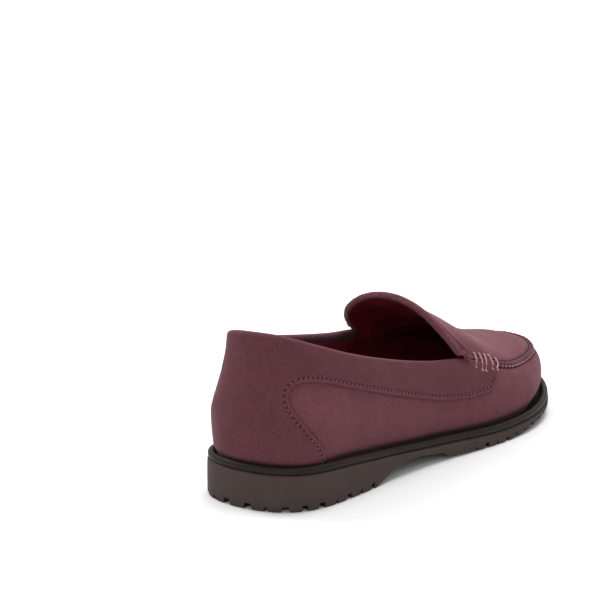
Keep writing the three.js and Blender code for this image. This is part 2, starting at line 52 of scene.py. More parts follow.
# Stations round the shoe, from the middle of the heel along the outer side, over the toe and back:
# sole x, sole y, rim x, rim y, rim z, belly of the wall, roundness of the wall.
STATIONS = np.array([
    (0, -150, 0, -141, 101, 4.2, 0.25), (14.5, -148, 10.5, -139, 101, 4.2, 0.25),
    (26, -143, 19, -133.5, 99.6, 3.8, 0.25), (35, -134, 24.5, -125.5, 96.6, 3.4, 0.25),
    (40.5, -119, 28, -113, 91.8, 3.5, 0.25), (42.5, -90, 32, -88, 82.4, 3.5, 0.25),
    (42.8, -50, 34.7, -50, 70.5, 4, 0.3), (46, -10, 36.5, -12, 61, 3.5, 0.4),
    (52.5, 28, 39.5, 24, 55, 2.5, 0.55), (55, 52, 42.5, 47, 47.7, 2.2, 0.65),
    (54.5, 74, 42.6, 67, 42.4, 2.2, 0.7), (50.5, 94, 38.6, 85, 39.8, 2.7, 0.75),
    (42.5, 113, 34.6, 101.5, 39.2, 3.2, 0.8), (30, 130, 26.8, 118, 39.5, 3.5, 0.8),
    (15, 142, 14, 128.5, 40.6, 3.8, 0.8), (-2, 149, -1, 132.5, 40.2, 3.8, 0.8),
    (-15, 149.5, -15, 130, 39.6, 3.8, 0.8), (-27, 143.5, -26, 124, 39.2, 3.5, 0.8),
    (-37, 131, -34.5, 113.5, 39.3, 3, 0.8), (-45, 113, -40, 98, 41.6, 2.5, 0.75),
    (-50, 90, -43, 80, 47.4, 2, 0.7), (-52.5, 65, -43.5, 60, 51.2, 2, 0.65),
    (-51.5, 42, -42, 40, 56.8, 2.5, 0.55), (-46.5, 12, -38.5, 15, 63, 3.5, 0.4),
    (-40.5, -20, -36, -18, 68.2, 4, 0.3), (-38.5, -55, -34, -55, 75.6, 4, 0.25),
    (-39.5, -95, -31, -93, 84.3, 3.5, 0.25), (-38.5, -120, -27, -115, 91, 3.5, 0.25),
    (-34, -135, -23, -127, 95, 3.4, 0.25), (-26, -143.5, -17.5, -135, 98, 3.8, 0.25),
    (-14.5, -148.5, -9.5, -139.3, 100, 4.2, 0.25),
], float)
CENTRE_X = 1.3
STATIONS[:, 0] -= CENTRE_X
STATIONS[:, 2] -= CENTRE_X
# Height of the outsole's top along the shoe.
OUTSOLE_TOP = [(-151, 22), (-110, 20.5), (-70, 16.5), (-30, 12.2), (10, 9.2), (45, 7.6), (80, 8), (110, 9.8),
               (135, 12), (152, 13.5)]
# Height of the sole's underside: breast of the heel, arch, first lug, ball and toe spring.
UNDERSIDE = [(-74, 0), (-70, 1.2), (-64, 3.6), (-56, 6), (-48, 7.6), (-36, 8), (-20, 6.4), (-8, 4.4), (-6, 2.2),
             (10, 1), (30, 0.2), (45, 0), (58, 0.6), (72, 2), (90, 3.8), (110, 5.2), (130, 6), (152, 6.6)]
WELT_HEIGHT = 4.6
FEATHER_INSET = 6
HEEL_FLARE = 1.6          # how much nearer the sole's edge the upper stands round the heel
# Height of the apron's top line along the shoe, and how far its section is an arch instead of a flat crown.
CREST = [(10, 88.6), (26, 79.9), (43, 70.8), (56, 63.4), (71, 57), (85, 52.9), (100, 48.7), (118, 45.7),
         (132.5, 40.6)]
ARCH = [(20, 1), (40, 0.7), (60, 0.4), (85, 0.25), (131, 0.2)]
THROAT_Y = 22
TONGUE_HALF_WIDTH = 38.9
TONGUE_TOP = 96.8
TONGUE_LEAN = 1.2        # the tongue's top leans to the outer side
# How far back the tongue's edge lies, from its middle (0) to its corners (1).
TONGUE_BACK_OUTER = [(0, -6), (0.2, -5.4), (0.4, -3.6), (0.53, -1.6), (0.645, 1.4), (0.745, 5.2), (0.838, 9.8),
                     (0.92, 15), (1, 21)]
TONGUE_BACK_INNER = [(0, -6), (0.25, -6), (0.4, -5.8), (0.53, -4.8), (0.645, -2.6), (0.745, 1), (0.838, 5),
                     (0.92, 9.6), (1, 15)]
TONGUE_CORNER_OUTER = 57.2
TONGUE_CORNER_INNER = 63
# Side view of the curved panel that the heel cover leaves open.
COVE = [(-112, 16), (-116, 25.4), (-120.3, 34.8), (-128, 44.8), (-133.6, 53.8), (-136, 60.6), (-135.8, 66.2),
        (-133.2, 71), (-128, 73.2), (-120.5, 72.4), (-108, 69.2), (-88, 62.2), (-56, 51.5), (-33.5, 44.5),
        (-5, 36.8), (20.5, 33.2), (33, 33.2), (38.5, 34.4), (42.5, 37.4), (46.5, 42), (50, 52)]

HEEL_BREAST = -74         # front of the flat heel
FOOTBED_HEIGHT = 6.6      # sock lining above the welt
HEEL_PAD_HEIGHT = 2.6     # and how much more over the heel pad
HEEL_TUCK = 3.0           # how far the heel draws in above its bulge
COVER_DEPTH = -0.9        # outer face of the heel cover, inside the wall's reference face
VAMP_DEPTH = 0.7
LINING_DEPTH = 5.0
FOOT_ROLL = 0.7           # the upper's lower edge rolls in above the welt
FOOT_ROLL_HEIGHT = 1.6
SEAM_COUNT = 1400         # points along the moc seam
SEAM_HALF = 2.4           # half width of the raised moc seam
SEAM_GROOVE = SEAM_HALF + 0.1
SEAM_BEGINS = (44, 54)    # the bead grows between these distances along the shoe
SEAM_PITCH = 4.3          # stitch spacing along the moc seam
SEAM_THREAD = 2.5
EDGE_STITCH_INSET = 2.3   # stitches from the cut edge of the heel cover
EDGE_PITCH = 3.4
EDGE_THREAD = EDGE_PITCH - 1.4
EDGE_PHASE = PI * (EDGE_PITCH + EDGE_THREAD) / EDGE_PITCH - PI


# ---------------- small maths

def unit(a):
    return a / np.maximum(np.linalg.norm(a, axis=-1, keepdims=True), 1e-12)


def smooth(x, a, b):
    k = np.clip((np.asarray(x, float) - a) / (b - a), 0, 1)
    return k * k * (3 - 2 * k)


def hump(x, middle, width):
    """A bell curve, 1 at its middle."""
    return np.exp(-((x - middle) / width) ** 2)


def running_length(line):
    """Distance along a line from its start to each of its points."""
    return np.r_[0, np.cumsum(np.linalg.norm(np.diff(line, axis=0), axis=1))]


def read_off(places, positions, line):
    """Points of a line at given places, where its own points stand at the given positions."""
    return np.stack([np.interp(places, positions, column) for column in line.T], -1)


def running_mean(line, width):
    """A line whose points are averaged over an odd number of neighbours."""
    padded = np.pad(line, ((width // 2, width // 2), (0, 0)), mode="edge")
    return np.stack([np.convolve(column, np.ones(width) / width, mode="valid") for column in padded.T], -1)


def on_plane(points):
    """Points of the plane as points in space."""
    return np.c_[points, points[:, 0] * 0]


def catmull(points, closed):
    """Centripetal Catmull-Rom curve through points: a function of an array of places from 0 to 1."""
    p = np.array(points, float)
    n = len(p)

    def at(t):
        t = np.asarray(t, float)
        place = (t % 1.0) * n if closed else np.clip(t, 0, 1) * (n - 1)
        i = np.floor(place).astype(int)
        if not closed:
            i = np.minimum(i, n - 2)
        w = (place - i)[..., None]
        if closed:
            p0, p1, p2, p3 = (p[(i + k) % n] for k in (-1, 0, 1, 2))
        else:
            p1, p2 = p[i], p[i + 1]
            p0 = np.where((i > 0)[..., None], p[np.maximum(i - 1, 0)], 2 * p[0] - p[1])
            p3 = np.where((i + 2 < n)[..., None], p[np.minimum(i + 2, n - 1)], 2 * p[-1] - p[-2])
        d0, d1, d2 = (np.maximum(((a - b) ** 2).sum(-1) ** 0.25, 1e-4)[..., None]
                      for a, b in ((p0, p1), (p1, p2), (p2, p3)))
        t1 = ((p1 - p0) / d0 - (p2 - p0) / (d0 + d1) + (p2 - p1) / d1) * d1
        t2 = ((p2 - p1) / d1 - (p3 - p1) / (d1 + d2) + (p3 - p2) / d2) * d1
        return (p1 + t1 * w + (-3 * p1 + 3 * p2 - 2 * t1 - t2) * w * w + (2 * p1 - 2 * p2 + t1 + t2) * w ** 3)

    return at


def profile(table, x):
    """Smooth value from a table of rising positions, with no overshoot."""
    xs, vs = np.array(table, float).T
    h = np.diff(xs)
    slope = np.diff(vs) / h
    tangent = np.empty(len(xs))
    tangent[0], tangent[-1] = slope[0], slope[-1]
    before, after = slope[:-1], slope[1:]
    product = before * after
    total = np.where(product > 0, before + after, 1)
    tangent[1:-1] = np.where(product > 0, 2 * product / total, 0)
    x = np.clip(np.asarray(x, float), xs[0], xs[-1])
    i = np.clip(np.searchsorted(xs, x, side="right") - 1, 0, len(h) - 1)
    k = (x - xs[i]) / h[i]
    return ((2 * k ** 3 - 3 * k ** 2 + 1) * vs[i] + (k ** 3 - 2 * k ** 2 + k) * h[i] * tangent[i]
            + (3 * k ** 2 - 2 * k ** 3) * vs[i + 1] + (k ** 3 - k ** 2) * h[i] * tangent[i + 1])


def ripple(points, wavelength, seed, waves=14):
    """Soft random undulation from -1 to 1 over points."""
    rng = np.random.default_rng(seed)
    total = np.zeros(points.shape[:-1])
    for _ in range(waves):
        direction = unit(rng.normal(size=3)) * 2 * PI / (wavelength * rng.uniform(0.6, 1.7))
        total += np.sin(points @ direction + rng.uniform(0, 2 * PI))
    return total / (waves * 0.5) ** 0.5 / 1.6


# ---------------- surfaces of the upper

sole_at = catmull(np.c_[STATIONS[:, :2], np.zeros(len(STATIONS))], True)
rim_at = catmull(STATIONS[:, 2:5], True)


def station_value(column, s):
    n = len(STATIONS)
    place = (np.asarray(s, float) % 1.0) * n
    i = np.floor(place).astype(int) % n
    w = place - np.floor(place)
    w = w * w * (3 - 2 * w)
    return STATIONS[i, column] * (1 - w) + STATIONS[(i + 1) % n, column] * w


def outward_at(s):
    along = sole_at(s + 0.002) - sole_at(s - 0.002)
    return unit(np.stack([along[..., 1], -along[..., 0], along[..., 0] * 0], -1))


def outsole_top(y):
    return profile(OUTSOLE_TOP, y)


def wall_face(s, v):
    """Reference outer face of the wall: s round the shoe, v from the welt up to the rim."""
    s, v = np.broadcast_arrays(np.asarray(s, float), np.asarray(v, float))
    out = outward_at(s)
    sole = sole_at(s)
    flare = HEEL_FLARE * (1 - smooth(sole[..., 1], -130, -85))
    foot = sole - out * (FEATHER_INSET - flare)[..., None]
    foot[..., 2] = outsole_top(sole[..., 1]) + WELT_HEIGHT + 0.3
    rise = rim_at(s) - foot
    belly, round_ = station_value(5, s), station_value(6, s)
    inward = (1 - round_) * v + round_ * (1 - np.cos(PI * v / 2))
    upward = (1 - round_) * v + round_ * np.sin(PI * v / 2)
    face = foot + rise * np.stack([inward, inward, upward], -1)
    tuck = HEEL_TUCK * (1 - smooth(sole[..., 1], -125, -70)) * np.sin(PI * np.clip((v - 0.3) / 0.7, 0, 1)) ** 1.3
    return face + out * (belly * np.sin(PI * np.maximum(v, 0) ** 0.75) - tuck)[..., None]


def wall_normal(s, v):
    s, v = np.broadcast_arrays(np.asarray(s, float), np.asarray(v, float))
    around = wall_face(s + 0.004, v) - wall_face(s - 0.004, v)
    up = wall_face(s, np.minimum(v + 0.02, 1)) - wall_face(s, np.maximum(v - 0.02, 0))
    normal = unit(np.cross(around, up))
    normal[..., 2] *= smooth(v, 0, 0.16)
    return unit(normal)


def wall_point(s, v, depth):
    return wall_face(s, v) - wall_normal(s, v) * np.asarray(depth, float)[..., None]


def wall_length(s):
    """Length of the wall from the welt up to the rim."""
    v = np.linspace(0, 1, 24)
    path = wall_face(s[:, None], v[None, :])
    return np.linalg.norm(np.diff(path, axis=1), axis=-1).sum(1)


_s = np.linspace(0, 1, 6001)[:-1]
_rim = rim_at(_s)
_toe = int(np.argmax(_rim[:, 1]))
TOE_Y = _rim[_toe, 1]
_outer = (_s < _s[_toe]) & (_s > 0.15)
_inner = (_s > _s[_toe]) & (_s < 0.85)


def rim_place(side, y):
    """Where the rim reaches a given distance along the shoe, on the outer (+1) or inner (-1) side."""
    if side > 0:
        return np.interp(y, _rim[_outer, 1], _s[_outer])
    return np.interp(y, _rim[_inner, 1][::-1], _s[_inner][::-1])


def apron_face(t, r):
    """Top of the apron: t from the throat to the toe, r from the inner to the outer edge."""
    t, r = np.broadcast_arrays(np.asarray(t, float), np.asarray(r, float))
    y = THROAT_Y + (TOE_Y - THROAT_Y) * np.sin(t * PI / 2)
    outer, inner = rim_at(rim_place(1, y)), rim_at(rim_place(-1, y))
    arch = profile(ARCH, y)
    across = (1 - arch) * r + arch * np.sin(r * PI / 2)
    crown = (1 - arch) * (1 - np.abs(r) ** 2.2) + arch * np.cos(r * PI / 2)
    lift = np.maximum(profile(CREST, y) - (outer[..., 2] + inner[..., 2]) / 2, 0)
    x = (outer[..., 0] + inner[..., 0]) / 2 + (outer[..., 0] - inner[..., 0]) / 2 * across
    edge = inner[..., 2] + (outer[..., 2] - inner[..., 2]) * (r + 1) / 2
    return np.stack([x, y, edge + lift * crown], -1)


def tongue_edge(r):
    outer = r > 0
    corner = np.where(outer, TONGUE_CORNER_OUTER, TONGUE_CORNER_INNER)
    back = np.where(outer, profile(TONGUE_BACK_OUTER, np.abs(r)), profile(TONGUE_BACK_INNER, np.abs(r)))
    rise = np.maximum(np.cos(r * PI / 2), 0)
    return np.stack([TONGUE_HALF_WIDTH * np.sin(r * PI / 2) - CENTRE_X + TONGUE_LEAN * rise, back,
                     corner + (TONGUE_TOP - corner) * rise ** np.where(outer, 0.85, 1.0)], -1)


def tongue_face(t, r):
    """Top of the tongue: t from the throat back to the free edge."""
    t, r = np.broadcast_arrays(np.asarray(t, float), np.asarray(r, float))
    start = apron_face(t * 0, r)
    chord = tongue_edge(r) - start
    leave = unit(start - apron_face(t * 0 + 0.02, r)) * np.linalg.norm(chord, axis=-1, keepdims=True)
    arrive = chord * 1.4 - leave * 0.4
    t = t[..., None]
    return (start + (t ** 3 - 2 * t ** 2 + t) * leave + (3 * t ** 2 - 2 * t ** 3) * chord
            + (t ** 3 - t ** 2) * arrive)


def top_face(w, r):
    """Apron and tongue as one sheet: w from -1 at the tongue's edge, over 0 at the throat, to 1 at the toe."""
    w, r = np.broadcast_arrays(np.asarray(w, float), np.asarray(r, float))
    return np.where((w < 0)[..., None], tongue_face(np.clip(-w, 0, 1), r), apron_face(np.clip(w, 0, 1), r))


def top_normal(w, r):
    w, r = np.broadcast_arrays(np.asarray(w, float), np.asarray(r, float))
    along = top_face(np.minimum(w + 0.006, 0.999), r) - top_face(np.maximum(w - 0.006, -1), r)
    across = top_face(w, np.minimum(r + 0.006, 1)) - top_face(w, np.maximum(r - 0.006, -1))
    return unit(np.cross(across, along))


# ---------------- the moc seam, shared by the wall and the apron

SEAM_S = np.linspace(rim_place(1, THROAT_Y), rim_place(-1, THROAT_Y), SEAM_COUNT)
SEAM = rim_at(SEAM_S)
SEAM_INDEX = np.arange(SEAM_COUNT)
SEAM_LENGTH = running_length(SEAM)
SEAM_NORMAL = unit(wall_normal(SEAM_S, np.full(SEAM_COUNT, 0.93)) + np.array([0, 0, 0.25]))


def nearest(points, line, chunk=4000):
    """Distance from each point to a line of points, and the place along it as a fractional index."""
    distance = np.empty(len(points))
    place = np.empty(len(points))
    for i in range(0, len(points), chunk):
        part = points[i:i + chunk]
        gap = ((part[:, None, :] - line[None]) ** 2).sum(-1)
        k = np.clip(gap.argmin(1), 1, len(line) - 2)
        best = None
        for a in (k - 1, k):
            segment = line[a + 1] - line[a]
            share = np.clip(((part - line[a]) * segment).sum(1) / (segment ** 2).sum(1), 0, 1)
            d = np.linalg.norm(part - line[a] - segment * share[:, None], axis=1)
            if best is None:
                best, where = d, a + share
            else:
                where = np.where(d < best, a + share, where)
                best = np.minimum(d, best)
        distance[i:i + chunk], place[i:i + chunk] = best, where
    return distance, place


def seam_place(points):
    """Distance from the moc seam, place along it, nearness to a stitch, and how far the bead has grown."""
    distance, place = nearest(points, SEAM)
    along = np.interp(place, SEAM_INDEX, SEAM_LENGTH)
    pinch = 0.5 + 0.5 * np.cos(2 * PI * along / SEAM_PITCH)
    return distance, place, pinch, smooth(np.interp(place, SEAM_INDEX, SEAM[:, 1]), *SEAM_BEGINS)


def seam_shade(points):
    """Painted shade on the moc seam: a darker bead, with darker puckers at its stitches."""
    distance, _, pinch, grown = seam_place(points)
    ridge = (0.16 + 0.26 * pinch ** 2) * smooth(SEAM_HALF + 0.9 - distance, 0, 1.2)
    return -(ridge + (0.15 + 0.4 * pinch) * hump(distance, SEAM_GROOVE, 0.8)) * grown


def raise_seam(points, normals):
    """Lifts points near the moc seam into its puckered bead, with a groove where the stitches pull in."""
    distance, place, pinch, grown = seam_place(points)
    half = SEAM_HALF - 0.35 * pinch
    arch = np.maximum(np.cos(PI * np.minimum(distance, half) / (2 * half)), 0)
    bead = (1.55 - 0.2 * pinch ** 1.5) * arch ** 1.3
    groove = -(0.35 + 0.55 * pinch) * hump(distance, SEAM_GROOVE, 0.65)
    mix = smooth(SEAM_HALF - distance, 0, SEAM_HALF)[:, None]
    direction = unit(normals * (1 - mix) + read_off(place, SEAM_INDEX, SEAM_NORMAL) * mix)
    return points + direction * ((bead + groove) * (0.4 + 0.6 * grown))[:, None]


# ---------------- meshes

def add_mesh(name, points, faces, material, body="shoe"):
    mesh = bpy.data.meshes.new(name)
    mesh.from_pydata((np.asarray(points, float) * MM).tolist(), [], [list(map(int, face)) for face in faces])
    mesh.validate()
    mesh.polygons.foreach_set("use_smooth", [True] * len(mesh.polygons))
    mesh.update()
    obj = bpy.data.objects.new(name, mesh)
    bpy.context.scene.collection.objects.link(obj)
    mesh.materials.append(material)
    if body:
        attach(obj, body)
    return obj


def grid_faces(rows, columns, loop=False, base=0):
    """Quads of a grid whose points run row by row; a loop joins the last row to the first."""
    index = np.arange(rows * columns).reshape(rows, columns) + base
    if loop:
        index = np.vstack([index, index[:1]])
    return np.stack([index[:-1, :-1], index[1:, :-1], index[1:, 1:], index[:-1, 1:]], -1).reshape(-1, 4)


def put_shade(obj, values):
    """Stores each point's painted light and shade: how much lighter or darker than the material it is drawn."""
    layer = obj.data.attributes.new("shade", "FLOAT", "POINT")
    layer.data.foreach_set("value", np.clip(values, -0.9, 1.5).astype(np.float32).ravel())


def inside(points, polygon, margin=0.0):
    """Which points lie inside a polygon, at least margin from its edge."""
    x, y = points[:, 0], points[:, 1]
    hit = np.zeros(len(points), bool)
    px, py = polygon[:, 0], polygon[:, 1]
    qx, qy = np.roll(px, -1), np.roll(py, -1)
    for i in range(len(polygon)):
        crosses = ((py[i] > y) != (qy[i] > y))
        with np.errstate(divide="ignore", invalid="ignore"):
            at = (qx[i] - px[i]) * (y - py[i]) / (qy[i] - py[i]) + px[i]
        hit ^= crosses & (x < at)
    if margin > 0:
        gap, _ = nearest(on_plane(points), on_plane(np.vstack([polygon, polygon[:1]])))
        hit &= gap > margin
    return hit


def grid_inside(outline, xs, ys, margin):
    """Points of a grid that lie inside a closed outline, clear of its edge."""
    x, y = np.meshgrid(xs, ys)
    field = np.c_[x.ravel(), y.ravel()]
    return field[inside(field, outline, margin)]


def fill_outline(outline, extra, tolerance=1e-5):
    """Points and triangles that fill a closed outline in the plane, through the extra points as well."""
    count = len(outline)
    edges = [(i, (i + 1) % count) for i in range(count)]
    points = [Vector(point) for point in np.vstack([outline, extra])]
    result = delaunay_2d_cdt(points, edges, [], 1, tolerance)
    return np.array([tuple(v) for v in result[0]]), result[2]


class Pieces:
    """Collects several grids or tubes into one mesh."""

    def __init__(self):
        self.points, self.faces, self.count = [], [], 0

    def add(self, points, faces):
        points = np.asarray(points, float).reshape(-1, 3)
        self.faces += [[i + self.count for i in face] for face in np.asarray(faces, object).tolist()]
        self.points.append(points)
        self.count += len(points)

    def mesh(self, name, material, slot, body="shoe"):
        return add_mesh(name, np.vstack(self.points), self.faces, material, body)


def tube(path, radius, sides=8, ply=0, twist=2.2):
    """A capped tube along path. ply > 0 gives twisted strands; radius may vary along the path."""
    path = np.asarray(path, float)
    n = len(path)
    radius = np.broadcast_to(np.asarray(radius, float), (n,))
    tangent = unit(np.gradient(path, axis=0))
    side = unit(np.cross(tangent[0], [0.3, 0.2, 1.0]))
    length = running_length(path)
    rings = []
    for i in range(n):
        side = unit(side - tangent[i] * (side @ tangent[i]))
        other = np.cross(tangent[i], side)
        angle = np.arange(sides) * 2 * PI / sides
        r = radius[i] * (1 + (0.16 * np.cos(ply * (angle - length[i] * twist)) if ply else 0))
        rings.append(path[i] + side * (np.cos(angle) * r)[:, None] + other * (np.sin(angle) * r)[:, None])
    points = np.vstack(rings + [path[:1], path[-1:]])
    faces = []
    for i in range(n - 1):
        for k in range(sides):
            a, b = i * sides + k, i * sides + (k + 1) % sides
            faces.append((a, b, b + sides, a + sides))
    first, last = n * sides, n * sides + 1
    for k in range(sides):
        faces.append(((k + 1) % sides, k, first))
        faces.append(((n - 1) * sides + k, (n - 1) * sides + (k + 1) % sides, last))
    return points, faces


THREAD_SINK = 0.45        # how deep a thread's ends go into the leather


def stitch_row(line, normals, pitch, length, radius, lift, start=0.0, stop=None, hole=(0.45, 0.45), slant=0.0):
    """Thread tubes along a line of surface points, with a near-black disc of painted shade for the needle hole in
    each gap between them.
    """
    distance = running_length(line)
    stop = distance[-1] if stop is None else stop
    threads, holes = Pieces(), Pieces()

    def place(where):
        return read_off(where, distance, line), unit(read_off(where, distance, normals))

    at = start
    while at + pitch < stop:
        centre, up = place(at + np.linspace(0, length, 7))
        arc = np.sin(np.linspace(0, PI, 7)) ** 0.6
        threads.add(*tube(centre + up * (lift * arc - THREAD_SINK * (1 - arc))[:, None], radius, 6))
        centre, up = place(at + (length + pitch) / 2 + np.array([-0.2, 0.2]))
        along = unit(centre[1] - centre[0])
        across = np.cross(up[0], along)
        along, across = along + across * slant, across - along * slant
        ring = [centre.mean(0) + up[0] * 0.06 + along * (math.cos(a) * hole[0]) + across * (math.sin(a) * hole[1])
                for a in np.arange(9) * 2 * PI / 9]
        holes.add(ring, [tuple(range(9))])
        at += pitch
    return threads, holes


# ---------------- materials

class Shader:
    """Builds a node tree; every input keeps its constant on its own socket."""

    def __init__(self, name):
        self.material = bpy.data.materials.new(name)
        self.material.use_nodes = True
        self.tree = self.material.node_tree
        self.bsdf = self.tree.nodes["Principled BSDF"]
        self.coords = self.tree.nodes.new("ShaderNodeTexCoord").outputs["Object"]

    def node(self, kind, inputs=None, **settings):
        node = self.tree.nodes.new(kind)
        for key, value in settings.items():
            setattr(node, key, value)
        for key, value in (inputs or {}).items():
            self.put(node.inputs[key], value)
        return node

    def put(self, socket, value):
        if isinstance(value, bpy.types.NodeSocket):
            self.tree.links.new(value, socket)
        else:
            socket.default_value = value

    def set(self, **values):
        for key, value in values.items():
            self.put(self.bsdf.inputs[key.replace("_", " ")], value)

    def noise(self, scale, detail=3.0, roughness=0.55, stretch=None):
        vector = self.coords
        if stretch:
            vector = self.node("ShaderNodeMapping", {"Vector": self.coords, "Scale": stretch}).outputs[0]
        return self.node("ShaderNodeTexNoise", {"Vector": vector, "Scale": scale, "Detail": detail,
                                                "Roughness": roughness}).outputs["Fac"]

    def cells(self, scale):
        return self.node("ShaderNodeTexVoronoi", {"Vector": self.coords, "Scale": scale}).outputs["Distance"]

    def ramp(self, fac, stops):
        node = self.node("ShaderNodeValToRGB", {"Fac": fac})
        elements = node.color_ramp.elements
        while len(elements) < len(stops):
            elements.new(0.5)
        for element, (place, colour) in zip(elements, stops):
            element.position = place
            element.color = (*colour, 1)
        return node.outputs["Color"]

    def mix(self, fac, a, b):
        node = self.node("ShaderNodeMix", data_type="RGBA")
        self.put(node.inputs[0], fac)
        self.put(node.inputs[6], a)
        self.put(node.inputs[7], b)
        return node.outputs[2]

    def math(self, operation, a, b):
        node = self.node("ShaderNodeMath", operation=operation)
        self.put(node.inputs[0], a)
        self.put(node.inputs[1], b)
        return node.outputs[0]

    def shaded(self, colour):
        """Scales a colour by one plus the mesh's painted light-and-shade value, which is 0 where a mesh has none.
        """
        shade = self.node("ShaderNodeAttribute", attribute_name="shade").outputs["Fac"]
        gain = self.math("ADD", shade, 1.0)
        return self.node("ShaderNodeVectorMath", {0: colour, "Scale": gain}, operation="SCALE").outputs[0]

    def bump(self, height, strength, distance, normal=None):
        inputs = {"Height": height, "Strength": strength, "Distance": distance}
        if normal is not None:
            inputs["Normal"] = normal
        return self.node("ShaderNodeBump", inputs).outputs["Normal"]


def rgb(value, gain):
    return tuple(min(c * gain, 1.0) for c in value)


def nubuck_material(name, base, shift=0.0):
    sh = Shader(name)
    blotch = sh.noise(38 + shift, 4, 0.6)
    cloud = sh.noise(150 + shift, 3, 0.55)
    fleck = sh.noise(1100, 4, 0.7)
    nap = sh.noise(5200, 3, 0.6)
    colour = sh.ramp(blotch, [(0.3, rgb(base, 0.86)), (0.52, base), (0.72, rgb(base, 1.16))])
    colour = sh.mix(0.55, colour, sh.ramp(cloud, [(0.32, rgb(base, 0.78)), (0.68, rgb(base, 1.22))]))
    colour = sh.mix(0.5, colour, sh.ramp(fleck, [(0.34, rgb(base, 0.55)), (0.52, base), (0.7, rgb(base, 1.6))]))
    sh.set(Base_Color=sh.shaded(colour), Roughness=0.95, Sheen_Weight=0.16, Sheen_Roughness=0.4,
           Sheen_Tint=(0.95, 0.62, 0.68, 1), Specular_IOR_Level=0.1)
    grain = sh.math("ADD", sh.math("MULTIPLY", fleck, 0.6), sh.math("MULTIPLY", nap, 0.55))
    normal = sh.bump(grain, 0.32, 0.0004)
    sh.set(Normal=sh.bump(cloud, 0.2, 0.0012, normal))
    return sh.material


def lining_material():
    sh = Shader("lining_leather")
    base = (0.135, 0.010, 0.021)
    blotch = sh.noise(60, 4, 0.6)
    pore = sh.cells(1300)
    sh.set(Base_Color=sh.ramp(blotch, [(0.3, rgb(base, 0.7)), (0.55, base), (0.75, rgb(base, 1.6))]))
    sh.set(Roughness=sh.math("ADD", sh.math("MULTIPLY", blotch, 0.18), 0.44))
    normal = sh.bump(pore, 0.3, 0.0004)
    sh.set(Normal=sh.bump(sh.noise(240, 3), 0.25, 0.001, normal))
    sh.set(Specular_IOR_Level=0.2)
    return sh.material


def rubber_material(name, base, roughness, shine, shift=0.0):
    sh = Shader(name)
    haze = sh.noise(45 + shift, 4, 0.6)
    speck = sh.noise(1900, 3, 0.7)
    colour = sh.ramp(haze, [(0.3, rgb(base, 0.84)), (0.55, base), (0.78, rgb(base, 1.22))])
    colour = sh.mix(0.3, colour, sh.ramp(speck, [(0.35, rgb(base, 0.7)), (0.68, rgb(base, 1.4))]))
    sh.set(Base_Color=sh.shaded(colour))
    sh.set(Roughness=sh.math("ADD", sh.math("MULTIPLY", haze, 0.2), roughness - 0.1))
    normal = sh.bump(speck, 0.25, 0.0004)
    sh.set(Normal=sh.bump(sh.noise(330, 2), 0.12, 0.001, normal))
    sh.set(Specular_IOR_Level=shine)
    return sh.material


def thread_material(name, base):
    sh = Shader(name)
    fibre = sh.noise(2600, 3, 0.6)
    sh.set(Base_Color=sh.ramp(fibre, [(0.3, rgb(base, 0.7)), (0.55, base), (0.75, rgb(base, 1.2))]),
           Roughness=0.75, Sheen_Weight=0.25, Sheen_Roughness=0.4)
    sh.set(Normal=sh.bump(fibre, 0.4, 0.0003))
    return sh.material


def plain_material(name, base, roughness, metallic=0.0, scale=300.0, stretch=None):
    sh = Shader(name)
    grain = sh.noise(scale, 4, 0.6, stretch)
    sh.set(Base_Color=sh.ramp(grain, [(0.3, rgb(base, 0.75)), (0.55, base), (0.75, rgb(base, 1.25))]),
           Metallic=metallic)
    sh.set(Roughness=sh.math("ADD", sh.math("MULTIPLY", grain, 0.15), roughness - 0.07))
    sh.set(Normal=sh.bump(grain, 0.3, 0.0005))
    return sh.material


NUBUCK = (0.119, 0.040, 0.051)
nubuck = nubuck_material("nubuck", NUBUCK)
# The heel cover: the same nubuck, made darker as painted shade.
nubuck_cover_painted_shade = nubuck_material("nubuck_cover_painted_shade", rgb(NUBUCK, 0.75), 5.0)
lining = lining_material()
rubber = rubber_material("outsole_rubber", (0.048, 0.032, 0.029), 0.7, 0.18)
rim_rubber = rubber_material("welt_rubber", (0.013, 0.007, 0.0063), 0.52, 0.16, 9.0)
cord_thread = thread_material("stitch_cord", (0.47, 0.235, 0.275))
fine_thread = thread_material("fine_thread", (0.13, 0.048, 0.06))
# Near-black discs of painted shade that stand for the needle holes' shadowed insides.
needle_hole_shade = plain_material("needle_hole_shade", (0.012, 0.003, 0.004), 0.9)

# ---------------- camera, floor and light


def camera():
    azimuth, elevation = math.radians(36.67), math.radians(14.47)
    distance, across, up_shift = 1696.0, 54.67, -87.62
    forward = Vector((-math.sin(azimuth) * math.cos(elevation), math.cos(azimuth) * math.cos(elevation),
                      -math.sin(elevation)))
    right = Vector((math.cos(azimuth), math.sin(azimuth), 0))
    up = right.cross(forward)
    place = -forward * distance - right * across - up * up_shift - Vector((CENTRE_X, 0, 0))
    data = bpy.data.cameras.new("camera")
    data.lens = 167.2
    data.sensor_width = 36
    data.clip_start, data.clip_end = 0.1, 50
    obj = bpy.data.objects.new("camera", data)
    obj.matrix_world = Matrix((
        (right.x, up.x, -forward.x, place.x * MM),
        (right.y, up.y, -forward.y, place.y * MM),
        (right.z, up.z, -forward.z, place.z * MM),
        (0, 0, 0, 1),
    ))
    bpy.context.scene.collection.objects.link(obj)
    bpy.context.scene.camera = obj


def area_light(name, place, target, size, power):
    data = bpy.data.lights.new(name, "AREA")
    data.shape = "DISK"
    data.size = size
    data.energy = power
    obj = bpy.data.objects.new(name, data)
    obj.location = place
    obj.rotation_euler = (Vector(target) - Vector(place)).to_track_quat("-Z", "Y").to_euler()
    bpy.context.scene.collection.objects.link(obj)


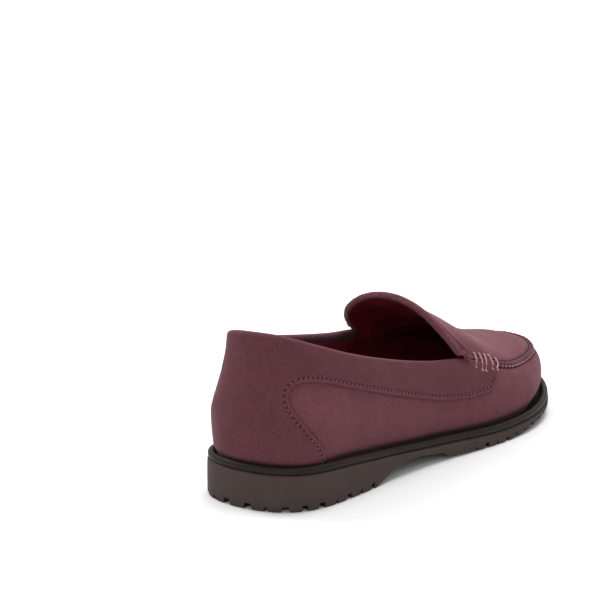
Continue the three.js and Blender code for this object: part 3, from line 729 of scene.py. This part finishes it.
def studio():
    scene = bpy.context.scene
    scene.view_settings.view_transform = "Standard"
    world = bpy.data.worlds.new("studio")
    world.use_nodes = True
    world.node_tree.nodes["Background"].inputs["Color"].default_value = (1, 1, 1, 1)
    world.node_tree.nodes["Background"].inputs["Strength"].default_value = 0.72
    scene.world = world
    area_light("key", (-1.15, -0.15, 1.35), (0, 0, 0.03), 0.75, 16)
    area_light("fill", (0.75, -1.5, 0.8), (0, 0, 0.04), 1.1, 6.2)
    area_light("top", (0.1, 0.3, 1.7), (0, 0.05, 0.04), 0.9, 16.5)
    area_light("back", (-0.7, 1.5, 1.3), (-0.7, 1.5, 0), 1.6, 14)
    mesh = bpy.data.meshes.new("floor")
    mesh.from_pydata([(-12, -12, 0), (12, -12, 0), (12, 12, 0), (-12, 12, 0)], [], [(0, 1, 2, 3)])
    floor = bpy.data.objects.new("floor", mesh)
    scene.collection.objects.link(floor)
    sh = Shader("floor")
    sh.set(Base_Color=(0.8, 0.8, 0.8, 1), Roughness=0.8)
    mesh.materials.append(sh.material)


# ---------------- sole

def outline_ring(count):
    """The sole's outline and its outward directions."""
    s = np.linspace(0, 1, count, endpoint=False)
    return sole_at(s), outward_at(s)


# Notches along the lower edge: distance from the middle of the heel or of the toe, width and height.
HEEL_WIDTHS = (5.2, 1.9, 4.8, 4.2, 5.0, 2.0, 4.8, 1.9, 4.4)
HEEL_NOTCHES = [(6 + 11.5 * i, wide, (3.2, 2.4, 2.9, 3.3)[i % 4]) for i, wide in enumerate(HEEL_WIDTHS)]
FORE_NOTCHES = [(7 + 9.6 * i, (4.2, 1.8, 1.9, 4.0, 1.9)[i % 5], (2.9, 2.3, 2.5)[i % 3]) for i in range(17)]


NOTCH_PAIR = 3.1          # how far the inner side's notches are shifted


def notch_lift(points):
    """How far each lug notch lifts the sole's lower edge, along the outline."""
    run = running_length(points[:, :2])
    total = run[-1] + np.linalg.norm(points[0, :2] - points[-1, :2])
    toe = run[np.argmax(points[:, 1])]
    lift = np.zeros(len(points))
    for middle, notches in ((0.0, HEEL_NOTCHES), (toe, FORE_NOTCHES)):
        for place, wide, high in notches:
            for sign, shift in ((1, 0.0), (-1, NOTCH_PAIR)):
                gap = np.abs((run - middle - sign * (place + shift) + total / 2) % total - total / 2)
                lift = np.maximum(lift, high * np.clip((wide / 2 - gap) / 0.8 + 0.3, 0, 1))
    y = points[:, 1]
    return lift * ((y < HEEL_BREAST - 2) | (y > -5))


def underside(y):
    return np.where(y < HEEL_BREAST, 0.0, profile(UNDERSIDE, y))


TREAD_PITCH, TREAD_DEPTH = 14, 1.6


def outsole_piece():
    count = 1700
    ring, out = outline_ring(count)
    top = outsole_top(ring[:, 1])
    low = underside(ring[:, 1])
    lift = notch_lift(ring)
    rows = [(7.5, low, 0.0), (6.4, low, 1.0), (1.2, low, 1.0), (0.6, low + 0.15, 1.0), (0.2, low + 0.6, 1.0)]
    points = []
    for inset, height, share in rows:
        points.append(np.c_[(ring - out * inset)[:, :2], height + lift * share])
    edge = low + np.maximum(lift, 0.5)
    for share in (0.12, 0.3, 0.5, 0.7, 0.88):
        z = edge + (top - edge) * share
        belly = 0.18 * math.sin(PI * share)
        points.append(np.c_[(ring + out * (belly - 0.1))[:, :2], z])
    for inset, drop in ((0.1, 1.0), (0.3, 0.6), (0.75, 0.2), (1.3, 0.0), (3.0, 0.0)):
        points.append(np.c_[(ring - out * inset)[:, :2], top - drop])
    grid = np.stack(points, 1)
    piece = Pieces()
    piece.add(grid, grid_faces(count, len(points), loop=True))
    # The tread inside the notched border: bars with channels between them.
    inner = (ring - out * 7.5)[::4, :2]
    step = 1.5
    field = grid_inside(inner, np.arange(-50, 52, step), np.arange(-146, 148, step * 0.8), step * 0.6)
    flat, faces = fill_outline(inner, field)
    y = flat[:, 1]
    bars = np.where((y > 2) & (y < 112), np.cos(2 * PI * (y - 8) / TREAD_PITCH), -1)
    bars = np.where(y < -84, np.cos(2 * PI * (y + 132) / TREAD_PITCH), bars)
    edge_gap, _ = nearest(on_plane(flat), on_plane(inner)[::2])
    z = underside(y) + TREAD_DEPTH * smooth(bars, 0.45, 0.75) * smooth(edge_gap, 2, 4.5)
    piece.add(np.c_[flat, z], [tuple(reversed(face)) for face in faces])
    obj = piece.mesh("lug_outsole", rubber, "outsole_rubber")
    # Painted shade in the lug notches' recesses, on the border's lower rows.
    recess_shade = np.zeros(grid.shape[:2])
    recess_shade[:, :4] = -0.85 * smooth(lift, 0.3, 1)[:, None]
    put_shade(obj, np.r_[recess_shade.ravel(), np.zeros(len(flat))])
    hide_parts("outsole")


def welt_piece():
    count = 1000
    ring, out = outline_ring(count)
    top = outsole_top(ring[:, 1])
    rows = [(3.0, 0.1), (1.7, 0.1), (1.35, 0.2), (0.9, 0.45), (0.55, 0.9), (0.35, 1.5), (0.3, 2.2), (0.35, 2.9),
            (0.6, 3.55), (1.0, 4.05), (1.6, 4.4), (2.3, 4.5), (3.1, 4.35), (3.8, 3.9), (4.4, 3.1), (4.8, 2.1),
            (5.2, 1.2), (8.0, 0.8), (14.0, 0.8)]
    points = [np.c_[(ring - out * inset)[:, :2], top + height] for inset, height in rows]
    obj = add_mesh("welt_rim", np.stack(points, 1).reshape(-1, 3), grid_faces(count, len(rows), loop=True),
                   rim_rubber)
    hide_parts("midsole")


def footbed_height(y):
    return outsole_top(y) + WELT_HEIGHT + FOOTBED_HEIGHT + HEEL_PAD_HEIGHT * (1 - smooth(y, HEEL_BREAST, -48))


def footbed_piece():
    count = 260
    ring, out = outline_ring(count)
    base = footbed_height(ring[:, 1])
    rows = [(11.6, -1.2), (11.7, 0.4), (12.2, 1.0), (13.5, 1.15), (18, 0.95)]
    points = [np.c_[(ring - out * inset)[:, :2], base + height] for inset, height in rows]
    piece = Pieces()
    piece.add(np.stack(points, 1), grid_faces(count, len(rows), loop=True))
    inner = points[-1][:, :2]
    field = grid_inside(inner, np.arange(-48, 50, 2.5), np.arange(-140, 142, 2.5), 1.2)
    flat, faces = fill_outline(inner, field)
    edge_gap, _ = nearest(on_plane(flat), on_plane(inner))
    piece.add(np.c_[flat, footbed_height(flat[:, 1]) + 0.95 - smooth(edge_gap, 0, 16)], faces)
    obj = piece.mesh("sock_lining", lining, "lining_leather")
    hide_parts("footbed", "heel_pad")


# ---------------- upper

def foot_share(height):
    """How much of the inward roll applies at a height above the upper's lower edge."""
    return hump(np.maximum(height, 0), 0, FOOT_ROLL_HEIGHT)


def vamp_piece():
    columns = 900
    s = np.linspace(0.035, 0.965, columns)
    fine = np.linspace(0, 0.17, 20)
    coarse = np.linspace(0.17, 1, 34)[1:]
    share = 1 - np.r_[fine, coarse][::-1]
    rim_y = rim_at(s)[:, 1]
    top = 0.72 + 0.28 * smooth(rim_y, 26, 46)
    S, V = np.meshgrid(s, share, indexing="ij")
    V = V * top[:, None]
    points = wall_point(S, V, np.full(S.shape, VAMP_DEPTH))
    normals = wall_normal(S, V)
    uneven = 0.35 * ripple(points, 42, 3) * smooth(V, 0, 0.2) * smooth(1 - V, 0, 0.2)
    points = points + normals * uneven[..., None]
    reach = smooth(V, 0.9, 1)[..., None] * smooth(rim_y, 30, 50)[:, None, None]
    points = points + normals * VAMP_DEPTH * reach
    height = V * wall_length(s)[:, None]
    points = points - normals * (FOOT_ROLL * foot_share(height))[..., None]
    flat = raise_seam(points.reshape(-1, 3), normals.reshape(-1, 3))
    near_seam = (V.reshape(-1) > 0.7)[:, None]
    flat = np.where(near_seam, flat, points.reshape(-1, 3))
    grid = flat.reshape(S.shape + (3,))
    out = outward_at(s)[:, None, :]
    tucks = [grid[:, :1] - out * inset - np.array([0, 0, drop])
             for inset, drop in ((2.4, 4.4), (1.2, 2.2), (0.35, 0.8))]
    grid = np.concatenate(tucks + [grid], 1)
    obj = add_mesh("vamp_leather", grid.reshape(-1, 3), grid_faces(columns, grid.shape[1]), nubuck)
    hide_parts("vamp")
    # Painted shade beside the heel cover's edge, along the seam, down at the welt and on the tucked rows below
    # the upper's edge.
    edge = np.vstack([cover_map(*line.T)[0] for line in (cove_line(1), cove_line(-1)[::-1])])
    beside, _ = nearest(flat, edge)
    painted_shade = (seam_shade(flat) - 0.6 * hump(beside, 0, 1.5)).reshape(S.shape) - 0.7 * foot_share(1.6 * height)
    put_shade(obj, np.concatenate([np.full((columns, len(tucks)), -0.8), painted_shade], 1))


_cs = np.linspace(-0.3, 0.3, 601)
_mid = wall_face(_cs, np.full(601, 0.6))
_cx = running_length(_mid)
_cx = _cx - np.interp(0, _cs, _cx)
_cl = wall_length(_cs)


def cover_fold(s):
    """The wall's length, the radius of the fold over the rim, and how far below the rim the fold begins."""
    rim_y = rim_at(s)[:, 1]
    return np.interp(s, _cs, _cl), 0.95 + 2.0 * (1 - smooth(rim_y, 2, 26)), 0.3 + 1.2 * smooth(rim_y, 12, 26)


def cover_map(x, b):
    """Heel cover: x is the distance round the heel and b the distance over the folded rim, positive outside."""
    s = np.interp(x, _cx, _cs)
    length, rho, rest = cover_fold(s)
    centre = 1 - (rho + rest) / length
    quarter = rho * PI / 2
    beyond = np.maximum(np.abs(b) - quarter, 0)
    v = centre - beyond / length
    angle = np.clip(PI / 2 - b / rho, 0, PI)
    base = wall_face(s, np.maximum(v, 0))
    normal = wall_normal(s, np.maximum(v, 0))
    up = unit(wall_face(s, np.minimum(v + 0.02, 1)) - wall_face(s, np.maximum(v - 0.02, 0)))
    point = (base - normal * (COVER_DEPTH + rho)[:, None] + normal * (rho * np.cos(angle))[:, None]
             + up * (rho * np.sin(angle))[:, None])
    drop = np.maximum(-v, 0) * length
    point = point - outward_at(s) * (0.55 * drop)[:, None]
    point[:, 2] -= drop
    outer = unit(normal * np.cos(angle)[:, None] + up * np.sin(angle)[:, None])
    return point, outer, v


def find_on_wall(side, y, z):
    """(s, v) of the wall points with these distances along and heights, on one side."""
    s = np.interp(y, [-140, -120, -90, -50, -10, 28, 52], [0.06, 0.12, 0.16, 0.19, 0.225, 0.26, 0.29])
    if side < 0:
        s = -np.interp(y, [-140, -120, -95, -55, -20, 12, 42, 60],
                       [0.06, 0.11, 0.15, 0.19, 0.22, 0.255, 0.29, 0.32])
    v = np.full(len(y), 0.5)
    for _ in range(30):
        p = wall_face(s, v)
        ds = (wall_face(s + 1e-3, v) - p) / 1e-3
        dv = (wall_face(s, v + 1e-3) - p) / 1e-3
        ey, ez = y - p[:, 1], z - p[:, 2]
        det = ds[:, 1] * dv[:, 2] - ds[:, 2] * dv[:, 1]
        s = s + np.clip((ey * dv[:, 2] - ez * dv[:, 1]) / det, -0.02, 0.02)
        v = np.clip(v + np.clip((ds[:, 1] * ez - ds[:, 2] * ey) / det, -0.1, 0.1), 0.001, 1.0)
    return s, v


def cove_line(side):
    """The cut edge of the heel cover in its own (x, b) plane, from the welt round to the rim."""
    curve = catmull([(y, z, 0) for y, z in COVE], False)(np.linspace(0.04, 0.985, 500))
    s, v = find_on_wall(side, curve[:, 0], curve[:, 1])
    keep = np.r_[True, np.diff(v) != 0]
    s, v = s[keep], v[keep]
    length, rho, rest = cover_fold(s)
    b = (1 - (rho + rest) / length - v) * length + rho * PI / 2
    return np.c_[np.interp(s, _cs, _cx), b]


def resample(line, step):
    """A line with its points at even distances of about step."""
    distance = running_length(line)
    count = max(int(distance[-1] / step), 4)
    return read_off(np.linspace(0, distance[-1], count), distance, line)


def cover_edges(x):
    """The cover's bottom at the rim's front and the lower end of its inner facing, in its own plane."""
    s = np.interp(x, _cx, _cs)
    length, rho, rest = cover_fold(s)
    bottom = length - rho - rest + rho * PI / 2 + 3.6
    facing = -(4.0 + 11.0 * (1 - smooth(rim_at(s)[:, 1], -8, 26)))
    return bottom, facing


def off_line(line, offset, toward):
    """A line moved sideways by offset, on the side where the test point lies."""
    tangent = unit(np.gradient(line, axis=0))
    normal = np.stack([tangent[:, 1], -tangent[:, 0]], -1)
    k = len(line) // 2
    if not inside(line[k:k + 1] + normal[k:k + 1], toward)[0]:
        normal = -normal
    moved = line + normal * offset
    gap, _ = nearest(on_plane(moved), on_plane(line))
    return moved[gap > offset * 0.97]


EDGE_RADIUS = 0.55        # rounding of the heel cover's cut edge


def cover_piece():
    step = 1.25
    lines = {side: resample(cove_line(side), step * 0.7) for side in (1, -1)}
    outer, inner = lines[1], lines[-1]
    outer[0, 1], inner[0, 1] = cover_edges(outer[:1, 0])[0][0], cover_edges(inner[:1, 0])[0][0]
    floor_x = np.arange(outer[0, 0] - step, inner[0, 0] + step, -step)
    roof_x = np.arange(inner[-1, 0] + step * 0.3, outer[-1, 0] - step * 0.3, step)
    loop = np.vstack([outer[::-1], np.c_[floor_x, cover_edges(floor_x)[0]], inner,
                      np.c_[roof_x, cover_edges(roof_x)[1]]])
    rings, rows = [], {}
    for side, line in lines.items():
        row = off_line(line, EDGE_STITCH_INSET, loop)
        rows[side] = row[row[:, 1] > 14.5]
        for offset in (0.1, 0.25, 0.45, 0.7, 1.1, 1.7, 2.3, 2.7, 3.0, 3.3, 3.6, 3.9, 4.4, 5.0):
            ring = off_line(line, offset, loop)
            if 2.5 < offset < 4:
                ring = resample(ring, 0.5)
            rings.append(ring[inside(ring, loop, 0.08)])
    xs = np.arange(loop[:, 0].min(), loop[:, 0].max(), step)
    ys = np.r_[np.arange(-16, -5.5, step), np.arange(-5.4, 5.5, step * 0.5), np.arange(5.6, 96, step)]
    field = grid_inside(loop, xs, ys, step * 0.45)
    gap, _ = nearest(on_plane(field), np.vstack([on_plane(line) for line in lines.values()]))
    flat, faces = fill_outline(loop, np.vstack([*rings, field[gap > 5.5]]), 1e-4)
    point, outward, v = cover_map(flat[:, 0], flat[:, 1])
    gap = np.full(len(point), 1e9)
    dimple = np.zeros(len(point))
    for side, line in lines.items():
        near, _ = nearest(point, cover_map(*line.T)[0])
        gap = np.minimum(gap, near)
        row = cover_map(*rows[side].T)[0]
        near, place = nearest(point, row)
        phase = np.interp(place, np.arange(len(row)), running_length(row)) / EDGE_PITCH * 2 * PI
        dimple = np.maximum(dimple, hump(near, 0, 0.55) * (0.5 - 0.5 * np.cos(phase - EDGE_PHASE)))
    rounding = np.sqrt(np.clip(1 - (1 - gap / EDGE_RADIUS) ** 2, 0, 1))
    sink = np.where(gap < EDGE_RADIUS, EDGE_RADIUS * (1 - rounding), 0)
    sink = np.where(gap < 0.03, 1.5, sink)
    groove = 0.3 * hump(gap, EDGE_STITCH_INSET, 0.7) + 0.5 * dimple
    swell = 0.22 * hump(gap, 1.6, 1.0)
    soft = 0.45 * ripple(point, 55, 11) + 0.12 * ripple(point, 20, 12)
    soft = soft * smooth(gap, 1, 8) * smooth(flat[:, 1], 3, 14)
    height = v * np.interp(np.interp(flat[:, 0], _cx, _cs), _cs, _cl)
    point = point + outward * (soft + swell - sink - groove - FOOT_ROLL * foot_share(height))[:, None]
    obj = add_mesh("heel_cover", point, faces, nubuck_cover_painted_shade)
    # Painted highlight on the fold and the cut edge; painted shade inside, at the stitch holes and at the welt.
    put_shade(obj, 0.5 * hump(flat[:, 1], 0.2, 0.9) - 0.6 * smooth(-flat[:, 1], 0.6, 4.5) - 0.85 * dimple
              + 0.35 * hump(gap, 0.6, 0.5) - 0.6 * foot_share(1.6 * height))
    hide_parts("heel_collar", "collar_padding")
    for side in (1, -1):
        where, up, _ = cover_map(*rows[side].T)
        threads, holes = stitch_row(where - up * 0.34, up, EDGE_PITCH, EDGE_THREAD, 0.27, 0.22,
                                    hole=(0.42, 0.75), slant=0.5)
        label = "outer" if side > 0 else "inner"
        threads.mesh(f"cover_stitches_{label}", fine_thread, "stitch_cord")
        holes.mesh(f"cover_needle_holes_{label}", needle_hole_shade, "nubuck")


TONGUE_THICK = 3.9
TONGUE_ROLL = 1.7         # how far the turned edge stands out
TONGUE_STITCH = 3.9       # stitches from the tongue's edge
TAIL_INNER, TAIL_OUTER = (-0.8, 1.4, -4.5), (-1.2, 3.5, -5.5)   # how the turned edge runs down into the shoe
TAIL_STEPS = 6


def blend_top(obj):
    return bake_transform(obj)


def top_columns():
    edge = np.linspace(0, 0.11, 20)
    rest = np.linspace(0.11, 1, 56)[1:]
    half = 1 - np.r_[edge, rest]
    return np.r_[-half[:-1], half[::-1]]


def tongue_run(r):
    """About how long the tongue is, from its edge to the throat."""
    return np.linalg.norm((tongue_edge(r) - apron_face(r * 0, r)) * 1.3, axis=-1)


def tongue_places(r):
    """Places w on the sheet, row by row: fixed distances from the tongue's edge first, then on to the throat."""
    run = tongue_run(r)
    fixed = np.array([0, 0.3, 0.7, 1.1, 1.5, 1.9, 2.3, 2.6, 2.9, 3.2, 3.5, 3.8, 4.2, 4.7, 5.3])
    squeeze = np.minimum(1, 0.8 * run / (fixed[-1] + TONGUE_ROLL))
    near = (TONGUE_ROLL + fixed[:, None]) * squeeze / run
    shares = np.linspace(0, 1, 30)[1:-1, None]
    far = near[-1:] + (1 - near[-1:]) * shares
    return -(1 - np.vstack([near, far]))


def turned_edge(line, over, middle):
    """The tongue's thick turned edge, swept along its free border and down into the shoe at both ends."""
    away = unit(np.cross(over, unit(np.gradient(line, axis=0))))
    away = np.where((((line - middle) * away).sum(1) < 0)[:, None], -away, away)
    share = np.linspace(0, 1, TAIL_STEPS + 1)[1:, None]
    inner_tail = line[0] + np.array(TAIL_INNER) * share[::-1]
    outer_tail = line[-1] + np.array(TAIL_OUTER) * share
    line = np.vstack([inner_tail, line, outer_tail])
    over, away = (np.pad(side, ((TAIL_STEPS, TAIL_STEPS), (0, 0)), mode="edge") for side in (over, away))
    angle = np.linspace(0, PI, 13)
    out = TONGUE_ROLL * np.sin(angle) ** 0.75
    down = TONGUE_THICK / 2 * (1 - np.sign(np.cos(angle)) * np.abs(np.cos(angle)) ** 0.75)
    strip = line[:, None] + away[:, None] * out[None, :, None] - over[:, None] * down[None, :, None]
    return strip + away[:, None] * (0.28 * ripple(strip, 4, 24) * np.sin(angle))[..., None]


def top_piece():
    r = top_columns()
    w = np.vstack([tongue_places(r), np.repeat(np.linspace(0, 0.995, 330)[:, None], len(r), 1)])
    R = np.repeat(r[None], len(w), 0)
    points, normals = top_face(w, R), top_normal(w, R)
    flat, up, place = points.reshape(-1, 3), normals.reshape(-1, 3), w.reshape(-1)
    edge_line = tongue_edge(np.linspace(-1, 1, 700))
    on_tongue = 1 - smooth(place, -0.02, 0.04)
    # The turned edge, its stitch groove and the soft swell behind it.
    gap, _ = nearest(flat, edge_line)
    relief = 0.5 * hump(gap, 2.3, 0.9) - 0.7 * hump(gap, TONGUE_STITCH, 0.5) + 0.4 * hump(gap, 5.2, 0.9)
    flat = flat + (raise_seam(flat, up) - flat) * smooth(place, 0, 0.05)[:, None]
    body = smooth(1 - np.abs(R), 0, 0.25) * smooth(1 - np.abs(w), 0, 0.2)
    flat = flat + up * (relief * on_tongue + 0.35 * ripple(flat, 40, 21) * body.reshape(-1))[:, None]
    grid = flat.reshape(points.shape)
    rows, columns = w.shape
    strip = turned_edge(grid[0], normals[0], grid[rows // 12, columns // 2])
    piece = Pieces()
    piece.add(grid, grid_faces(rows, columns))
    piece.add(strip, grid_faces(*strip.shape[:2]))
    obj = piece.mesh("apron_and_tongue", nubuck, "nubuck", body=None)
    gap, _ = nearest(flat, edge_line)
    # Painted highlight on the swell behind the stitch groove, painted shade in the groove, and the band out to
    # the edge a little darker.
    shade = on_tongue * (0.35 * hump(gap, TONGUE_STITCH + 1.1, 0.6) - 0.14 * smooth(TONGUE_STITCH - gap, 0, 1)
                         - 0.55 * hump(gap, TONGUE_STITCH, 0.5))
    put_shade(obj, np.r_[shade + seam_shade(flat), np.zeros(strip[..., 0].size)])
    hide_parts("apron", "tongue")
    blend_top(obj)


def top_lining():
    """Lining on the underside of the apron and the tongue."""
    r = np.linspace(-1, 1, 81)
    w = np.vstack([tongue_places(r)[::3], np.repeat(np.linspace(0, 0.93, 60)[:, None], 81, 1)])
    R = np.repeat(r[None], len(w), 0) * (0.94 + 0.035 * smooth(w, -0.1, 0.1))
    base, under = top_face(w, R), top_normal(w, R)
    wave = 0.3 * ripple(base, 30, 31) * smooth(1 - np.abs(R), 0, 0.3) * smooth(w, -1, -0.7)
    sheet = base - under * (TONGUE_THICK - 0.1 + wave)[..., None]
    lined = add_mesh("tongue_and_apron_lining", sheet.reshape(-1, 3), grid_faces(*w.shape), lining,
                     body=None)
    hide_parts("apron_lining", "tongue_lining")
    blend_top(lined)


def tongue_stitches():
    """A stitch row along the tongue's edge."""
    r = np.linspace(-0.93, 0.93, 500)
    place = -(1 - TONGUE_STITCH * 1.25 / np.maximum(tongue_run(r), TONGUE_STITCH * 2))
    row, up = top_face(place, r), top_normal(place, r)
    threads, holes = stitch_row(row - up * 0.5, up, 3.2, 2.1, 0.26, 0.2, 1.0)
    blend_top(threads.mesh("tongue_stitches", fine_thread, "stitch_cord", body=None))
    blend_top(holes.mesh("tongue_needle_holes", needle_hole_shade, "nubuck", body=None))


def seam_stitches():
    """One row of thread on each side of the moc seam's bead."""
    half = SEAM_COUNT // 2
    first, last = slice(0, half), slice(None, half - 1, -1)
    start = np.interp(51, SEAM[first, 1], SEAM_LENGTH[first])
    stop = SEAM_LENGTH[-1] - (np.interp(51, SEAM[last, 1], SEAM_LENGTH[-1] - SEAM_LENGTH[last]))
    offset = SEAM_HALF + 0.35
    v = 1 - offset / wall_length(SEAM_S)
    row = wall_point(SEAM_S, v, np.full(len(v), 0.35))
    threads, holes = stitch_row(row, wall_normal(SEAM_S, v), SEAM_PITCH, SEAM_THREAD, 0.3, 0.25, start, stop,
                                (0.6, 0.45))
    threads.mesh("moc_stitches_wall", cord_thread, "stitch_cord")
    holes.mesh("moc_needle_holes_wall", needle_hole_shade, "nubuck")
    # The apron row: walk in from the seam on the apron's own surface.
    r = np.r_[np.linspace(-0.999, -0.8, 40), np.linspace(-0.78, 0.78, 60), np.linspace(0.8, 0.999, 40)]
    W, R = np.meshgrid(np.linspace(0.0, 0.998, 700), r, indexing="ij")
    cloud = apron_face(W, R).reshape(-1, 3)
    inward = -unit(np.cross(np.gradient(SEAM, axis=0), [0, 0, 1.0]))
    plan = (SEAM + inward * offset * 0.93)[:, :2]
    pick = np.empty(len(plan), int)
    for i in range(0, len(plan), 50):
        gap = ((plan[i:i + 50, None] - cloud[None, :, :2]) ** 2).sum(-1)
        pick[i:i + 50] = gap.argmin(1)
    row = np.c_[plan, running_mean(cloud[pick, 2:], 15)]
    up = unit(running_mean(top_normal(W, R).reshape(-1, 3)[pick], 15))
    threads, holes = stitch_row(row - up * 0.35, up, SEAM_PITCH, SEAM_THREAD, 0.27, 0.15, start + 1.0, stop,
                                (0.6, 0.45))
    threads.mesh("moc_stitches_apron", fine_thread, "stitch_cord")
    holes.mesh("moc_needle_holes_apron", needle_hole_shade, "nubuck")


# Whip stitches: distance along the shoe and share of the wall's height for each lower end, and distance along
# the shoe and share of the apron's half width for each upper end.
WHIP_LOW = ((26.3, 0.815), (31.2, 0.765), (34.3, 0.757), (41.0, 0.8), (46.0, 0.8))
WHIP_HIGH = ((31.2, 0.87), (36.4, 0.86), (42, 0.845), (46.8, 0.84), (53.2, 0.89))
WHIP_RADIUS = 0.45
WHIP_BOW = 3.2            # how far each cord bows toward the toe
WHIP_CREST = 0.8          # how far it stands off the seam
WHIP_SPLIT = 0.62         # share of the cord that lies on the wall


def whip_path(side, low_y, low_v, high_y, high_r):
    """A cord's run: a small hook at its hole in the wall, a bow over the seam, and down into the apron."""
    share = np.linspace(0, 1, 41)
    over = WHIP_CREST * hump(share, WHIP_SPLIT, 0.2) + WHIP_RADIUS
    y = low_y + (high_y - low_y) * share ** 2 + WHIP_BOW * np.sin(PI * share ** 0.85)
    v = low_v + (1 - low_v) * np.minimum(share / WHIP_SPLIT, 1)
    r = side * (1 - (1 - high_r) * np.maximum((share - WHIP_SPLIT) / (1 - WHIP_SPLIT), 0))
    t = np.arcsin((y - THROAT_Y) / (TOE_Y - THROAT_Y)) * 2 / PI
    on_wall = wall_point(rim_place(side, y), v, -over)
    on_top = top_face(t, r) + top_normal(t, r) * over[:, None]
    path = np.where((share < WHIP_SPLIT)[:, None], on_wall, on_top)
    for _ in range(3):
        path = running_mean(path, 9)
    hook_y = low_y + np.array([1.3, 0.9, 0.4, 0.05])
    hook = wall_point(rim_place(side, hook_y), low_v + np.array([-0.03, -0.03, -0.03, -0.015]),
                      np.array([1.2, -0.2, -0.75, -0.6]))
    sunk = top_face(t[-1], r[-1]) - top_normal(t[-1], r[-1]) * 1.2
    return [*hook, *path[2:-2:4], sunk]


def whip_stitches():
    for side, label in ((1, "outer"), (-1, "inner")):
        for i, (low, high) in enumerate(zip(WHIP_LOW, WHIP_HIGH)):
            cord = Pieces()
            curve = catmull(whip_path(side, *low, *high), False)(np.linspace(0, 1, 64))
            cord.add(*tube(curve, WHIP_RADIUS, 14, ply=3, twist=2.0))
            made = cord.mesh(f"whip_cord_{label}_{i + 1}", cord_thread, "stitch_cord")
            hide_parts(f"whip_stitch_{label}_{i + 1}")


LINING_LIFT = 5.5         # how far the lining rises behind the tongue's corners


def wall_lining_piece():
    count = 300
    s = np.linspace(0, 1, count, endpoint=False)
    rim_y = rim_at(s)[:, 1]
    ahead = rim_y - np.where(rim_at(s)[:, 0] > 0, 5, 0)
    top = 0.88 + 0.11 * smooth(ahead, 9, 17) - 0.05 * smooth(rim_y, 60, 100)
    share = np.linspace(0, 1, 30)
    S, V = np.meshgrid(s, share, indexing="ij")
    V = 0.01 + V * (top[:, None] - 0.01)
    base = wall_face(S, V)
    depth = LINING_DEPTH + 0.25 + 0.3 * ripple(base, 30, 41)
    points = wall_point(S, V, depth)
    extra = LINING_LIFT * smooth(ahead, 7, 15) * (1 - smooth(rim_y, 38, 55))
    points[..., 2] += extra[:, None] * smooth(share, 0.9, 1)
    obj = add_mesh("inside_lining", points.reshape(-1, 3), grid_faces(count, 30, loop=True), lining)
    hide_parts("wall_lining")


def hidden_parts():
    looks = {
        "cork_filler": plain_material("cork", (0.27, 0.15, 0.06), 0.9, scale=600),
        "shank": plain_material("shank_steel", (0.42, 0.43, 0.45), 0.35, 1.0, 200, (1, 0.05, 1)),
        "insole_board": plain_material("insole_board", (0.37, 0.25, 0.13), 0.85, scale=900),
        "heel_counter": plain_material("stiffener", (0.035, 0.012, 0.014), 0.85, scale=700),
    }
    looks["toe_puff"] = looks["heel_counter"]
    for name, material in looks.items():
        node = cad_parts[name]
        node.data.materials.clear()
        node.data.materials.append(material)


camera()
studio()
outsole_piece()
welt_piece()
footbed_piece()
vamp_piece()
cover_piece()
top_piece()
top_lining()
tongue_stitches()
seam_stitches()
whip_stitches()
wall_lining_piece()
hidden_parts()
